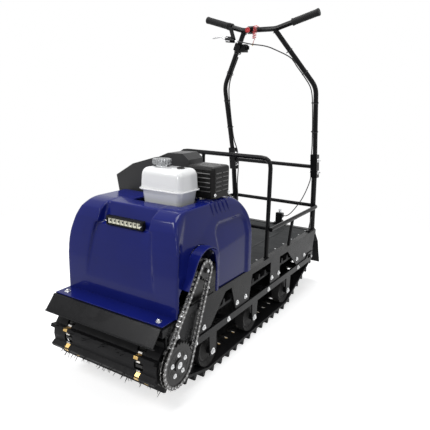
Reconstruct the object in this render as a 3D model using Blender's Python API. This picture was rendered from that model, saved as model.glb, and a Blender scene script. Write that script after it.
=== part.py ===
"""Tracked snow tow vehicle: a rubber track under a deck, with a hooded engine, chain drive and handlebar.

Metres, +Z up. The front faces -Y and the chain is on the +X side. The ground is z = 0. The sizes below
count y from the foot of the hood's front face, and at the end everything moves forward so that the
origin is on the ground under the middle of the vehicle.
"""

import math

import bmesh
import bpy
from mathutils import Vector

# Clearances
SEAT_GAP = 0.0003
RUNNING_GAP = 0.0004

# Rubber track
TRACK_WIDTH = 0.444
TRACK_THICKNESS = 0.010
LUG_HEIGHT = 0.018
LUG_TIP = 0.008
LUG_BASE = 0.018
TRACK_PITCHES = 48
WINDOW_X = 0.1525
WINDOW_WIDTH = 0.036
WINDOW_LENGTH = 0.024

# Drive axle, front
DRIVE_Y = -0.010
DRIVE_Z = 0.155
DRIVE_RADIUS = 0.0655
DRIVE_TEETH = 8
DRIVE_WHEEL_WIDTH = 0.026
DRIVE_TOOTH_BASE = 0.016
DRIVE_TOOTH_TIP = 0.009
DRIVE_TOOTH_HEIGHT = 0.007
AXLE_RADIUS = 0.0125

# Rollers and rear idler
ROLLER_RADIUS = 0.062
ROLLER_WIDTH = 0.034
ROLLER_X = TRACK_WIDTH / 2 - 0.027
ROLLER_PLACES = (0.213, 0.527, 0.860)
STUB_RADIUS = 0.008
IDLER_RADIUS = 0.050
IDLER_Z = 0.189
IDLER_START_Y = 1.125

# Main frame of square tube
FRAME_FRONT = -0.070
FRAME_REAR = 1.170
FRAME_HALF = 0.2335
BEAM = 0.025
FRAME_TOP = 0.312
FRONT_DROP = 0.022
CROSS_MEMBERS = (0.175, 0.430, 0.790)
CROSS_MEMBER_DROP = 0.006

# Side frames
SIDE_INNER = TRACK_WIDTH / 2 + 0.0035
PLATE = 0.005
BAR_DEPTH = 0.0095
BAR_LOW = 0.160
BAR_HIGH = 0.186
BAR_FRONT = 0.050
CROSS_TUBE_RADIUS = 0.010
CROSS_TUBE_PLACES = (0.310, 0.640, 0.960)

# Chain drive
CHAIN_PITCH = 0.015875
CHAIN_LINKS = 58
BIG_TEETH = 28
SMALL_TEETH = 12
SPROCKET_X = FRAME_HALF + 0.010
SPROCKET_TOOTH = 0.0030
CHAIN_ROLLER = 0.0048
CHAIN_INNER_HALF = 0.0048
CHAIN_PLATE = 0.0026
LINK_HALF_HEIGHT = 0.0072
LINK_WAIST = 0.0050
JACKSHAFT_TILT = math.radians(61)
JACKSHAFT_RADIUS = 0.0085
GUARD_RADIUS = 0.074
GUARD_SHEET = 0.004
GUARD_FIRST = math.radians(50)
GUARD_LAST = math.radians(148)
GUARD_TAIL = 0.085

# Deck
DECK_FRONT = 0.476
DECK_SHEET = 0.003

# Hood
FLANGE_HALF = FRAME_HALF - 0.006
HOOD_HALF_FRONT = FRAME_HALF
HOOD_HALF_REAR = FRAME_HALF + 0.003
HOOD_NARROWING = 0.040
HOOD_WALL = 0.005
HOOD_TOP = 0.608
HOOD_REAR = 0.467
HOOD_ROUND = 0.055
HOOD_FOOT_ROUND = 0.018
HOOD_ROUND_LOW = 0.420
HOOD_ROUND_HIGH = 0.560
HOOD_FLANGE = 0.064
HOOD_PANEL_HALF = 0.138
HOOD_POCKET_HALF = 0.106
LIGHT_X = (-0.074, 0.080)
LIGHT_HEIGHT = 0.030

# Front deflector
DEFLECTOR_SHEET = 0.003
DEFLECTOR_LOW_Y = -0.112
DEFLECTOR_LOW_Z = 0.246

# Rear mudflap
FLAP_SHEET = 0.0045
FLAP_REACH = 0.097
FLAP_LOW = 0.112

# Tubes of the deck guard and the handlebar
GUARD_TUBE = 0.009
UPRIGHT_TUBE = 0.0125
HANDLE_TUBE = 0.011
HOOP_Y = 0.634
HOOP_TOP = 0.719
HOOP_HALF = 0.2195
HOOP_POST_X = -0.0955
UPRIGHT_FOOT_Y = 1.1568
UPRIGHT_FOOT_HALF = 0.219
UPRIGHT_HEAD_Y = 1.118
UPRIGHT_HEAD_Z = 0.636
UPRIGHT_HALF = 0.224
RAIL_Z = 0.434
RAIL_REAR = 1.160
POST_Y = 0.850
CLAMP_HEIGHT = 0.112
CLAMP_HALF = 0.016
HANDLE_FOOT_GAP = 0.0045
HANDLE_BEND_Y = 1.030
HANDLE_BEND_Z = 0.998
HANDLE_BEND_HALF = 0.2355
HANDLE_TOP_Y = 0.916
HANDLE_TOP_Z = 1.236
HANDLE_TOP_HALF = 0.073
BAR_END_HALF = 0.267
BAR_END_RISE = 0.054
GRIP_RADIUS = 0.0155
GRIP_LENGTH = 0.116

# Engine
CRANK_Y = 0.300
CRANK_Z = 0.425
ENGINE_PLATE = 0.005
CASE_TOP = 0.505
FAN_RADIUS = 0.108
TANK_LOW = 0.582
TANK_SEAM = 0.648
TANK_TOP = TANK_SEAM + 0.071
TANK_X = (-0.028, 0.145)
CAP_RADIUS = 0.033
CAP_HEIGHT = 0.021
TANK_Y = (0.136, 0.252)
CAP_PLACE = (0.021, 0.202)
GAUGE_PLACE = (0.080, 0.222)
MUFFLER_X = (0.088, 0.192)
MUFFLER_Y = (0.258, 0.366)
MUFFLER_Z = (0.616, 0.722)
MUFFLER_SHEET = 0.002
PULLEY_LOW = 0.104
PULLEY_HIGH = 0.150
AIR_LOW = 0.577
KNOB_BASE = -0.2410
KNOB_PLACE = (0.320, 0.6165)
TANK_BRACKET_Y = 0.218

# Tow hitch and controls
HITCH_X = 0.040
HITCH_HEIGHT = 0.060
HITCH_SLOT = 0.014
PIN_RADIUS = 0.006
PIN_TRAVEL = 0.018
CABLE_RADIUS = 0.0025
LOOM_RADIUS = 0.0030
CABLE_POINTS = 64
HITCH_HALF = 0.018
SWITCH_X = -0.041
BUTTON_TRAVEL = 0.003
CURL_RADIUS = 0.0078
CURL_WIRE = 0.0014
CURL_TURNS = 8
CURL_POINTS = 8
LEVER_X = 0.122 - BAR_END_HALF
LEVER_PIN = 0.0028
LEVER_PIVOT = (-0.140, 0.885, 1.198)
LEVER_AXIS = (-0.162, 0.770, -0.578)
LEVER_BLADE = ((0.006, 0.0), (0.020, -0.003), (0.036, -0.010), (0.052, -0.006), (0.074, 0.001))
LEVER_CABLE_START = (-0.104, 0.890, 1.190)
IGNITION_Z = 1.166
LANYARD_TOP = (-0.0035, 0.885, 1.250)
LANYARD_FOOT = (-0.0075, 0.886, 1.196)
LANYARD_TAIL = ((-0.0115, 0.889, 1.186), (-0.0165, 0.893, 1.176))
HANDLE_FLAT = 0.080

# Derived places
BEAM_INNER = FRAME_HALF - BEAM
BEAM_LOW = FRAME_TOP - BEAM
FRONT_TOP = FRAME_TOP - FRONT_DROP
PLATE_TOP = BEAM_LOW - SEAT_GAP
SIDE_OUTER = SIDE_INNER + PLATE
SPROCKET_WIDTH = 2 * (CHAIN_INNER_HALF - SEAT_GAP)
ROLLER_Z = LUG_HEIGHT + TRACK_THICKNESS + SEAT_GAP + ROLLER_RADIUS
BIG_PITCH_RADIUS = CHAIN_PITCH / (2 * math.sin(math.pi / BIG_TEETH))
SMALL_PITCH_RADIUS = CHAIN_PITCH / (2 * math.sin(math.pi / SMALL_TEETH))
HOOD_BASE = FRONT_TOP + DEFLECTOR_SHEET + 2 * SEAT_GAP
HOOD_FOOT = FRAME_TOP + SEAT_GAP
MEMBER_TOP = FRAME_TOP - CROSS_MEMBER_DROP
ENGINE_BASE = MEMBER_TOP + ENGINE_PLATE + 2 * SEAT_GAP
REAR_FACE = FRAME_REAR + SEAT_GAP
MIDDLE_Y = (DEFLECTOR_LOW_Y + REAR_FACE + FLAP_REACH) / 2
RAIL_HALF = HOOP_HALF + 2 * GUARD_TUBE + SEAT_GAP
AXES = {"x": 0, "y": 1, "z": 2}


def clear_scene():
    for item in list(bpy.data.objects):
        bpy.data.objects.remove(item, do_unlink=True)


def make_material(name, colour, roughness, metallic=0.0):
    material = bpy.data.materials.new(name)
    material.use_nodes = True
    shader = material.node_tree.nodes["Principled BSDF"]
    shader.inputs["Base Color"].default_value = (*colour, 1.0)
    shader.inputs["Roughness"].default_value = roughness
    shader.inputs["Metallic"].default_value = metallic
    return material


# Basic shapes


def from_bmesh(name, shape):
    bmesh.ops.recalc_face_normals(shape, faces=shape.faces)
    mesh = bpy.data.meshes.new(name)
    shape.to_mesh(mesh)
    shape.free()
    item = bpy.data.objects.new(name, mesh)
    bpy.context.scene.collection.objects.link(item)
    return item


def on_axis(axis, along, first, second):
    """A point with the value along on the axis, and the other two coordinates in X, Y, Z order."""
    values = [first, second]
    values.insert(AXES[axis], along)
    return Vector(values)


def prism(outline, axis, low, high):
    """A closed outline in the plane across the axis, extruded from low to high."""
    shape = bmesh.new()
    lower = [shape.verts.new(on_axis(axis, low, *point)) for point in outline]
    upper = [shape.verts.new(on_axis(axis, high, *point)) for point in outline]
    shape.faces.new(lower)
    shape.faces.new(upper)
    for index in range(len(outline)):
        after = (index + 1) % len(outline)
        shape.faces.new((lower[index], lower[after], upper[after], upper[index]))
    return from_bmesh("prism", shape)


def block(low, high):
    corners = ((low[0], low[1]), (high[0], low[1]), (high[0], high[1]), (low[0], high[1]))
    return prism(corners, "z", low[2], high[2])


def circle_points(centre, radius, sides, start=0.0, sweep=2 * math.pi):
    """Points on an arc; a full circle leaves out the repeated last point."""
    whole = sweep >= 2 * math.pi
    steps = sides if whole else sides - 1
    points = []
    for index in range(sides):
        angle = start + sweep * index / steps
        points.append((centre[0] + radius * math.cos(angle), centre[1] + radius * math.sin(angle)))
    return points


def cylinder(axis, centre, radius, low, high, sides=16):
    return prism(circle_points(centre, radius, sides, math.pi / sides), axis, low, high)


def turned(profile, axis, centre, sides=20):
    """A closed profile of (radius, place along the axis) turned about an axis through centre."""
    shape = bmesh.new()
    rings = []
    for radius, along in profile:
        if radius < 1e-6:
            rings.append([shape.verts.new(on_axis(axis, along, *centre))])
            continue
        ring = circle_points(centre, radius, sides)
        rings.append([shape.verts.new(on_axis(axis, along, *point)) for point in ring])
    for index, ring in enumerate(rings):
        other = rings[(index + 1) % len(rings)]
        if len(ring) == 1 and len(other) == 1:
            continue
        for side in range(sides):
            after = (side + 1) % sides
            corners = [ring[side % len(ring)], ring[after % len(ring)]]
            corners += [other[after % len(other)], other[side % len(other)]]
            unique = list(dict.fromkeys(corners))
            shape.faces.new(unique)
    return from_bmesh("turned", shape)


def sleeve(path, radius, sides=20):
    """A cutter that clears a round bar of this radius by the seating gap, on its flats too."""
    return pipe(path, (radius + SEAT_GAP) / math.cos(math.pi / sides), sides)


def bore_tool(axis, centre, radius, low, high, sides=16):
    """A round cutter whose corners line up with those of a turned shaft."""
    return turned([(0, low), (radius, low), (radius, high), (0, high)], axis, centre, sides)


def fillet(points, radius, steps=4):
    """The same path with each inner corner replaced by an arc of about this radius."""
    points = [Vector(point) for point in points]
    path = [points[0]]
    for before, corner, after in zip(points, points[1:], points[2:]):
        to_before = (before - corner).normalized()
        to_after = (after - corner).normalized()
        half = to_before.angle(to_after) / 2
        cut = min(radius / math.tan(half), (before - corner).length * 0.45, (after - corner).length * 0.45)
        start = corner + to_before * cut
        end = corner + to_after * cut
        for step in range(steps + 1):
            share = step / steps
            path.append(start.lerp(corner, share).lerp(corner.lerp(end, share), share))
    path.append(points[-1])
    return path


def pipe(path, radius, sides=10):
    """A round bar swept along a path, with flat ends."""
    path = [Vector(point) for point in path]
    shape = bmesh.new()
    tangents = []
    for index, point in enumerate(path):
        before = path[max(index - 1, 0)]
        after = path[min(index + 1, len(path) - 1)]
        tangents.append((after - before).normalized())
    normal = tangents[0].orthogonal().normalized()
    rings = []
    for point, tangent in zip(path, tangents):
        normal = (normal - tangent * normal.dot(tangent)).normalized()
        side_way = tangent.cross(normal)
        ring = []
        for step in range(sides):
            angle = 2 * math.pi * step / sides
            offset = normal * math.cos(angle) + side_way * math.sin(angle)
            ring.append(shape.verts.new(point + offset * radius))
        rings.append(ring)
    shape.faces.new(rings[0])
    shape.faces.new(rings[-1])
    for ring, other in zip(rings, rings[1:]):
        for step in range(sides):
            after = (step + 1) % sides
            shape.faces.new((ring[step], ring[after], other[after], other[step]))
    return from_bmesh("pipe", shape)


def smooth_route(points, count):
    """A path with count points on a smooth curve through the given points."""
    points = [Vector(point) for point in points]
    ends = [points[0] * 2 - points[1], *points, points[-1] * 2 - points[-2]]
    fine = []
    for first, second, third, fourth in zip(ends, ends[1:], ends[2:], ends[3:]):
        for step in range(24):
            share = step / 24
            straight = second * 2 + (third - first) * share
            bend = (first * 2 - second * 5 + third * 4 - fourth) * share**2
            twist = (second * 3 - first - third * 3 + fourth) * share**3
            fine.append((straight + bend + twist) / 2)
    fine.append(points[-1])
    lengths = [0.0]
    for before, after in zip(fine, fine[1:]):
        lengths.append(lengths[-1] + (after - before).length)
    route = []
    index = 0
    for step in range(count):
        wanted = lengths[-1] * step / (count - 1)
        while index < len(fine) - 2 and lengths[index + 1] < wanted:
            index += 1
        span = lengths[index + 1] - lengths[index]
        share = min((wanted - lengths[index]) / span, 1.0)
        route.append(fine[index].lerp(fine[index + 1], share))
    return route


# Operations on whole shapes


def apply_modifiers(item):
    bpy.context.view_layer.update()
    graph = bpy.context.evaluated_depsgraph_get()
    mesh = bpy.data.meshes.new_from_object(item.evaluated_get(graph))
    item.modifiers.clear()
    item.data = mesh
    return item


def combine(item, other, operation, solver="EXACT"):
    modifier = item.modifiers.new("combine", "BOOLEAN")
    modifier.operation = operation
    modifier.solver = solver
    modifier.object = other
    apply_modifiers(item)
    bpy.data.objects.remove(other, do_unlink=True)
    return item


def join(item, *others):
    for other in others:
        combine(item, other, "UNION")
    return item


def cut(item, *others):
    for other in others:
        combine(item, other, "DIFFERENCE")
    return item


def loose(*items):
    """One object of several shapes that don't touch, for use as a single cutter."""
    shape = bmesh.new()
    for item in items:
        shape.from_mesh(item.data)
        bpy.data.objects.remove(item, do_unlink=True)
    return from_bmesh("loose", shape)


def soften(item, width, segments=2, angle=40):
    """Rounds the edges that turn by more than the angle."""
    modifier = item.modifiers.new("round", "BEVEL")
    modifier.width = width
    modifier.segments = segments
    modifier.limit_method = "ANGLE"
    modifier.angle_limit = math.radians(angle)
    return apply_modifiers(item)


def place(item, point):
    """Puts the object's origin at a point and keeps its shape where it is."""
    point = Vector(point)
    for vertex in item.data.vertices:
        vertex.co -= point
    item.location = point
    return item


def mirrored(item):
    """A copy of the object on the other side of the plane x = 0."""
    shape = bmesh.new()
    shape.from_mesh(item.data)
    for vertex in shape.verts:
        vertex.co.x = -(vertex.co.x + item.location.x)
        vertex.co.y += item.location.y
        vertex.co.z += item.location.z
    bmesh.ops.reverse_faces(shape, faces=shape.faces)
    return from_bmesh("mirrored", shape)


def finish(item, name, material, origin=None):
    item.name = name
    item.data.name = name
    item.data.materials.clear()
    item.data.materials.append(material)
    item.data.shade_smooth()
    item.data.set_sharp_from_angle(angle=math.radians(35))
    if origin is not None:
        place(item, origin)
    return item


# Loop of track or chain round wheels


class Loop:
    """A tight closed path in the YZ plane, anticlockwise round (y, z, radius) circles inside it."""

    def __init__(self, circles):
        self.parts = []
        normals = []
        for index, circle in enumerate(circles):
            other = circles[(index + 1) % len(circles)]
            span = Vector((other[0] - circle[0], other[1] - circle[1]))
            heading = math.atan2(span.y, span.x)
            normals.append(heading - math.acos((circle[2] - other[2]) / span.length))
        for index, circle in enumerate(circles):
            start = normals[index - 1]
            turn = (normals[index] - start) % (2 * math.pi)
            if turn > 1.99 * math.pi:
                turn = 0.0
            self.parts.append(("arc", circle, start, turn, turn * circle[2]))
            other = circles[(index + 1) % len(circles)]
            angle = normals[index]
            out = Vector((math.cos(angle), math.sin(angle)))
            begin = Vector(circle[:2]) + out * circle[2]
            end = Vector(other[:2]) + out * other[2]
            self.parts.append(("line", begin, end, angle, (end - begin).length))
        self.length = sum(part[-1] for part in self.parts)

    def at(self, distance):
        """The (point, outward direction) at a distance along the loop."""
        distance %= self.length
        for part in self.parts:
            if distance <= part[-1]:
                break
            distance -= part[-1]
        if part[0] == "arc":
            centre, start = part[1], part[2]
            angle = start + distance / centre[2]
            out = Vector((math.cos(angle), math.sin(angle)))
            return Vector(centre[:2]) + out * centre[2], out
        begin, end, angle = part[1], part[2], part[3]
        out = Vector((math.cos(angle), math.sin(angle)))
        return begin.lerp(end, distance / part[-1]), out

    def bends(self, distance, reach):
        return self.at(distance - reach)[1].dot(self.at(distance + reach)[1]) < 0.9999


def track_circles(idler_y):
    middle = TRACK_THICKNESS / 2 + SEAT_GAP
    circles = [(DRIVE_Y, DRIVE_Z, DRIVE_RADIUS + middle)]
    for roller_y in ROLLER_PLACES:
        circles.append((roller_y, ROLLER_Z, ROLLER_RADIUS + middle))
    circles.append((idler_y, IDLER_Z, IDLER_RADIUS + middle))
    return circles


def tensioned_idler_y():
    """The idler's place at which the track is a whole number of drive-tooth pitches long."""
    pitch = 2 * math.pi * (DRIVE_RADIUS + TRACK_THICKNESS / 2 + SEAT_GAP) / DRIVE_TEETH
    wanted = pitch * TRACK_PITCHES
    place_y = IDLER_START_Y
    for _ in range(30):
        place_y += (wanted - Loop(track_circles(place_y)).length) / 2
    return place_y


IDLER_Y = tensioned_idler_y()
TRACK_LOOP = Loop(track_circles(IDLER_Y))
TRACK_PITCH = TRACK_LOOP.length / TRACK_PITCHES


def drive_front_distance():
    """Distance along the track loop to the point straight in front of the drive axle."""
    start = TRACK_LOOP.parts[0][2]
    return ((math.pi - start) % (2 * math.pi)) * TRACK_LOOP.parts[0][1][2]


def make_track(material):
    """Belt with lugs and windows; two grooves at the drive wheels let their teeth turn past the still belt."""
    origin = drive_front_distance()
    half = TRACK_THICKNESS / 2
    outer = []
    inner = []
    lug = [(-LUG_BASE / 2, 0.0), (-LUG_TIP / 2, LUG_HEIGHT), (LUG_TIP / 2, LUG_HEIGHT), (LUG_BASE / 2, 0.0)]
    for index in range(TRACK_PITCHES):
        centre = origin + (index + 0.5) * TRACK_PITCH
        for shift, height in lug:
            point, out = TRACK_LOOP.at(centre + shift)
            outer.append(point + out * (half + height))
        bent = any(TRACK_LOOP.bends(centre + shift * TRACK_PITCH, TRACK_PITCH / 2) for shift in (0.0, 0.5))
        for share in (0.0, 0.2, 0.4, 0.6, 0.8) if bent else (0.0,):
            point, out = TRACK_LOOP.at(centre + share * TRACK_PITCH)
            inner.append(point - out * (half - (RUNNING_GAP if bent else 0.0)))
            if share == 0.4:
                outer.append(TRACK_LOOP.at(centre + TRACK_PITCH / 2)[0] + out * half)
    width = TRACK_WIDTH / 2
    track = prism([tuple(point) for point in outer], "x", -width, width)
    cut(track, prism([tuple(point) for point in inner], "x", -TRACK_WIDTH, TRACK_WIDTH))
    windows = []
    for index in range(TRACK_PITCHES):
        point, out = TRACK_LOOP.at(origin + index * TRACK_PITCH)
        along = Vector((-out.y, out.x))
        corners = []
        for way, depth in ((-1, -1), (1, -1), (1, 1), (-1, 1)):
            corner = point + along * (way * WINDOW_LENGTH / 2) + out * (depth * TRACK_THICKNESS * 1.2)
            corners.append(tuple(corner))
        for side in (-1, 1):
            low = side * WINDOW_X - WINDOW_WIDTH / 2
            windows.append(prism(corners, "x", low, low + WINDOW_WIDTH))
    cut(track, loose(*windows))
    sweep = (DRIVE_RADIUS + DRIVE_TOOTH_HEIGHT + RUNNING_GAP) / math.cos(math.pi / 48)
    reach = DRIVE_WHEEL_WIDTH / 2 + RUNNING_GAP
    grooves = []
    for side in (-1, 1):
        middle = side * WINDOW_X
        grooves.append(bore_tool("x", (DRIVE_Y, DRIVE_Z), sweep, middle - reach, middle + reach, 48))
    cut(track, loose(*grooves))
    return finish(track, "track", material)


# Running gear


def toothed_disc(centre, teeth, root, tip, base_width, tip_width, low, high, phase=0.0):
    """A disc with straight-sided teeth, one of them at the phase angle."""
    outline = []
    tooth = ((-base_width / 2, root), (-tip_width / 2, tip), (tip_width / 2, tip), (base_width / 2, root))
    for index in range(teeth):
        angle = phase + 2 * math.pi * index / teeth
        for offset, radius in tooth:
            turn = angle + offset / radius
            outline.append((centre[0] + radius * math.cos(turn), centre[1] + radius * math.sin(turn)))
        middle = angle + math.pi / teeth
        outline.append((centre[0] + root * math.cos(middle), centre[1] + root * math.sin(middle)))
    return prism(outline, "x", low, high)


def make_drive_axle(material):
    """Axle with its sprocket flange and the two toothed wheels that drive the track."""
    centre = (DRIVE_Y, DRIVE_Z)
    axle_end = SPROCKET_X - SPROCKET_WIDTH / 2 - SEAT_GAP
    flange_start = axle_end - 0.003
    profile = [(0, -SIDE_OUTER - 0.008), (AXLE_RADIUS, -SIDE_OUTER - 0.008), (AXLE_RADIUS, flange_start)]
    profile += [(0.030, flange_start), (0.030, axle_end), (0, axle_end)]
    axle = turned(profile, "x", centre, 16)
    root = DRIVE_RADIUS - SEAT_GAP
    tip = DRIVE_RADIUS + DRIVE_TOOTH_HEIGHT
    tooth = (DRIVE_TOOTH_BASE, DRIVE_TOOTH_TIP)
    for side in (-1, 1):
        low = side * WINDOW_X - DRIVE_WHEEL_WIDTH / 2
        high = low + DRIVE_WHEEL_WIDTH
        wheel = toothed_disc(centre, DRIVE_TEETH, root, tip, *tooth, low, high, math.pi)
        holes = []
        for index in range(4):
            angle = math.pi / 4 + index * math.pi / 2
            middle = (DRIVE_Y + 0.038 * math.cos(angle), DRIVE_Z + 0.038 * math.sin(angle))
            holes.append(cylinder("x", middle, 0.012, low - 0.01, high + 0.01, 6))
        cut(wheel, loose(*holes))
        join(axle, wheel)
    return finish(axle, "drive_axle", material, (0, *centre))


def wheel_profile(radius, width, bore, middle):
    """Half section of a solid wheel with dished sides and a hub."""
    half = width / 2
    hub = bore + 0.010
    rim = radius - 0.015
    web = half * 0.4
    return [
        (bore, middle - half),
        (hub, middle - half),
        (rim, middle - web),
        (radius, middle - half),
        (radius, middle + half),
        (rim, middle + web),
        (hub, middle + half),
        (bore, middle + half),
    ]


def make_rollers(material):
    bore = STUB_RADIUS + RUNNING_GAP
    for side, side_name in ((1, "left"), (-1, "right")):
        for index, roller_y in enumerate(ROLLER_PLACES):
            profile = wheel_profile(ROLLER_RADIUS, ROLLER_WIDTH, bore, side * ROLLER_X)
            roller = turned(profile, "x", (roller_y, ROLLER_Z), 16)
            finish(roller, f"roller_{index + 1}_{side_name}", material, (side * ROLLER_X, roller_y, ROLLER_Z))


def make_idler(material):
    """Rear idler: two wheels on one axle that reaches through the side frames."""
    end = SIDE_INNER + BAR_DEPTH + 0.004
    collar = SIDE_INNER - RUNNING_GAP
    right = wheel_profile(IDLER_RADIUS, ROLLER_WIDTH, STUB_RADIUS, -ROLLER_X)
    left = wheel_profile(IDLER_RADIUS, ROLLER_WIDTH, STUB_RADIUS, ROLLER_X)
    profile = [(0, -end), (STUB_RADIUS, -end), (STUB_RADIUS, -collar), (0.013, -collar), *right[1:-1]]
    profile += [(STUB_RADIUS + 0.003, right[-1][1]), (STUB_RADIUS + 0.003, left[0][1]), *left[1:-1]]
    profile += [(0.013, collar), (STUB_RADIUS, collar), (STUB_RADIUS, end), (0, end)]
    idler = turned(profile, "x", (IDLER_Y, IDLER_Z), 16)
    return finish(idler, "rear_idler", material, (0, IDLER_Y, IDLER_Z))


def make_side_frames(material):
    """Plates and lower bar outside the track, with the stub axles of the rollers."""
    low, high = SIDE_INNER, SIDE_OUTER
    bar_high = SIDE_INNER + BAR_DEPTH
    front_low = FRONT_TOP - BEAM - SEAT_GAP
    nose = circle_points((DRIVE_Y, DRIVE_Z), 0.036, 6, math.radians(180), math.radians(115))
    front = [(0.0527, PLATE_TOP), (0.0305, front_low), (DRIVE_Y - 0.036, front_low), *nose]
    front += [(0.085, BAR_LOW + 0.004), (0.180, BAR_HIGH - 0.006), (0.190, BAR_HIGH), (0.295, PLATE_TOP)]
    frame = prism(front, "x", low, high)
    rear_end = IDLER_Y + 0.034
    first = [(0.333, PLATE_TOP), (0.373, BAR_HIGH - 0.006), (0.470, BAR_HIGH - 0.006), (0.495, PLATE_TOP)]
    second = [(0.661, PLATE_TOP), (0.661, BAR_HIGH - 0.006), (0.758, BAR_HIGH - 0.006), (0.750, PLATE_TOP)]
    third = [(0.831, PLATE_TOP), (0.955, BAR_HIGH - 0.004), (1.020, BAR_HIGH - 0.008)]
    third += [(rear_end, IDLER_Z), (FRAME_REAR, PLATE_TOP)]
    bar = [(BAR_FRONT, BAR_LOW), (rear_end - 0.020, BAR_LOW), (rear_end, BAR_LOW + 0.014)]
    bar += [(rear_end, IDLER_Z + 0.018), (rear_end - 0.060, IDLER_Z + 0.018)]
    bar += [(rear_end - 0.080, BAR_HIGH), (BAR_FRONT, BAR_HIGH)]
    join(frame, prism(bar, "x", low, bar_high))
    for index, outline in enumerate((first, second, third)):
        join(frame, prism(outline, "x", low, high + 0.0001 * (index + 1)))
    for roller_y in ROLLER_PLACES:
        tab = circle_points((roller_y, ROLLER_Z), 0.018, 6, math.pi, math.pi)
        tab += [(roller_y + 0.024, BAR_LOW + 0.004), (roller_y - 0.024, BAR_LOW + 0.004)]
        join(frame, prism(tab, "x", low, high + 0.0005))
        stub_end = ROLLER_X - ROLLER_WIDTH / 2 - 0.003
        collar = ROLLER_X + ROLLER_WIDTH / 2 + SEAT_GAP
        profile = [(0, stub_end), (STUB_RADIUS, stub_end), (STUB_RADIUS, collar), (0.013, collar)]
        profile += [(0.013, low + 0.002), (0, low + 0.002)]
        join(frame, turned(profile, "x", (roller_y, ROLLER_Z), 8))
    reach = STUB_RADIUS + SEAT_GAP
    slot = circle_points((IDLER_Y - 0.020, IDLER_Z), reach, 5, math.pi / 2, math.pi)
    slot += circle_points((IDLER_Y, IDLER_Z), reach, 7, -math.pi / 2, math.pi)
    cut(frame, prism(slot, "x", low - 0.01, bar_high + 0.01))
    drive = (DRIVE_Y, DRIVE_Z)
    join(frame, cylinder("x", drive, 0.024, low - 0.012, low + 0.002))
    cut(frame, bore_tool("x", drive, AXLE_RADIUS + RUNNING_GAP, low - 0.03, bar_high))
    other = mirrored(frame)
    finish(frame, "side_frame_left", material)
    finish(other, "side_frame_right", material)


def make_cross_tubes(material):
    end = SIDE_INNER - SEAT_GAP
    for index, tube_y in enumerate(CROSS_TUBE_PLACES):
        centre = (tube_y, (BAR_LOW + BAR_HIGH) / 2)
        tube = cylinder("x", centre, CROSS_TUBE_RADIUS, -end, end, 12)
        finish(tube, f"cross_tube_{index + 1}", material, (0, *centre))


# Chain drive


def chain_centre_distance():
    """Distance between the sprocket centres at which the loop is a whole number of links long."""
    distance = 0.3
    for _ in range(30):
        loop = Loop([(0, 0, BIG_PITCH_RADIUS), (distance, 0, SMALL_PITCH_RADIUS)])
        distance += (CHAIN_LINKS * CHAIN_PITCH - loop.length) / 2
    return distance


CHAIN_CENTRES = chain_centre_distance()
SHAFT_Y = DRIVE_Y + CHAIN_CENTRES * math.cos(JACKSHAFT_TILT)
SHAFT_Z = DRIVE_Z + CHAIN_CENTRES * math.sin(JACKSHAFT_TILT)
CHAIN_LOOP = Loop([(DRIVE_Y, DRIVE_Z, BIG_PITCH_RADIUS), (SHAFT_Y, SHAFT_Z, SMALL_PITCH_RADIUS)])


def chain_pins():
    """Places of the chain's pins, the first on the line away from the jackshaft."""
    arc = CHAIN_LOOP.parts[0]
    away = JACKSHAFT_TILT + math.pi
    start = ((away - arc[2]) % (2 * math.pi)) * BIG_PITCH_RADIUS
    spacing = CHAIN_LOOP.length / CHAIN_LINKS
    return [CHAIN_LOOP.at(start + index * spacing) for index in range(CHAIN_LINKS)], start, spacing


def link_strip(low, high, shares):
    """A closed strip of link plates; shares are (place along a link, half height) pairs."""
    pins, start, spacing = chain_pins()
    outer = []
    inner = []
    for index in range(CHAIN_LINKS):
        for share, height in shares:
            point, out = CHAIN_LOOP.at(start + (index + share) * spacing)
            outer.append(tuple(point + out * height))
            inner.append(tuple(point - out * height))
    strip = prism(outer, "x", low, high)
    return cut(strip, prism(inner, "x", low - 0.01, high + 0.01))


def make_chain(material):
    """Rollers between two strips, left out where the sprocket teeth turn past the still chain."""
    pins, start, spacing = chain_pins()
    reach = CHAIN_INNER_HALF + CHAIN_PLATE
    chain = link_strip(SPROCKET_X - reach, SPROCKET_X - CHAIN_INNER_HALF, ((0.0, LINK_HALF_HEIGHT * 0.9),))
    waist = ((0.0, LINK_HALF_HEIGHT), (0.5, LINK_WAIST))
    near_strip = link_strip(SPROCKET_X + CHAIN_INNER_HALF, SPROCKET_X + reach, waist)
    overlap = 0.0008
    low = SPROCKET_X - CHAIN_INNER_HALF - overlap
    high = SPROCKET_X + CHAIN_INNER_HALF + overlap
    rollers = []
    sweep = SPROCKET_TOOTH + CHAIN_ROLLER + RUNNING_GAP
    big_centre = Vector((DRIVE_Y, DRIVE_Z))
    small_centre = Vector((SHAFT_Y, SHAFT_Z))
    for point, out in pins:
        at_big = (point - big_centre).length < BIG_PITCH_RADIUS + sweep
        at_small = (point - small_centre).length < SMALL_PITCH_RADIUS + sweep
        if at_big or at_small:
            continue
        turn = math.atan2(out.y, out.x)
        rollers.append(prism(circle_points(tuple(point), CHAIN_ROLLER, 4, turn), "x", low, high))
    join(chain, loose(*rollers))
    join(chain, near_strip)
    return finish(chain, "roller_chain", material)


def sprocket_outline(centre, teeth, pitch_radius, phase):
    """Rounded gaps that hold the chain rollers, with pointed teeth between them."""
    outline = []
    step = 2 * math.pi / teeth
    root = pitch_radius - CHAIN_ROLLER - SEAT_GAP
    tip = pitch_radius + SPROCKET_TOOTH
    for index in range(teeth):
        angle = phase + index * step
        for share, radius in ((-0.17, root), (0.17, root), (0.5, tip)):
            turn = angle + share * step
            outline.append((centre[0] + radius * math.cos(turn), centre[1] + radius * math.sin(turn)))
    return outline


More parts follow.
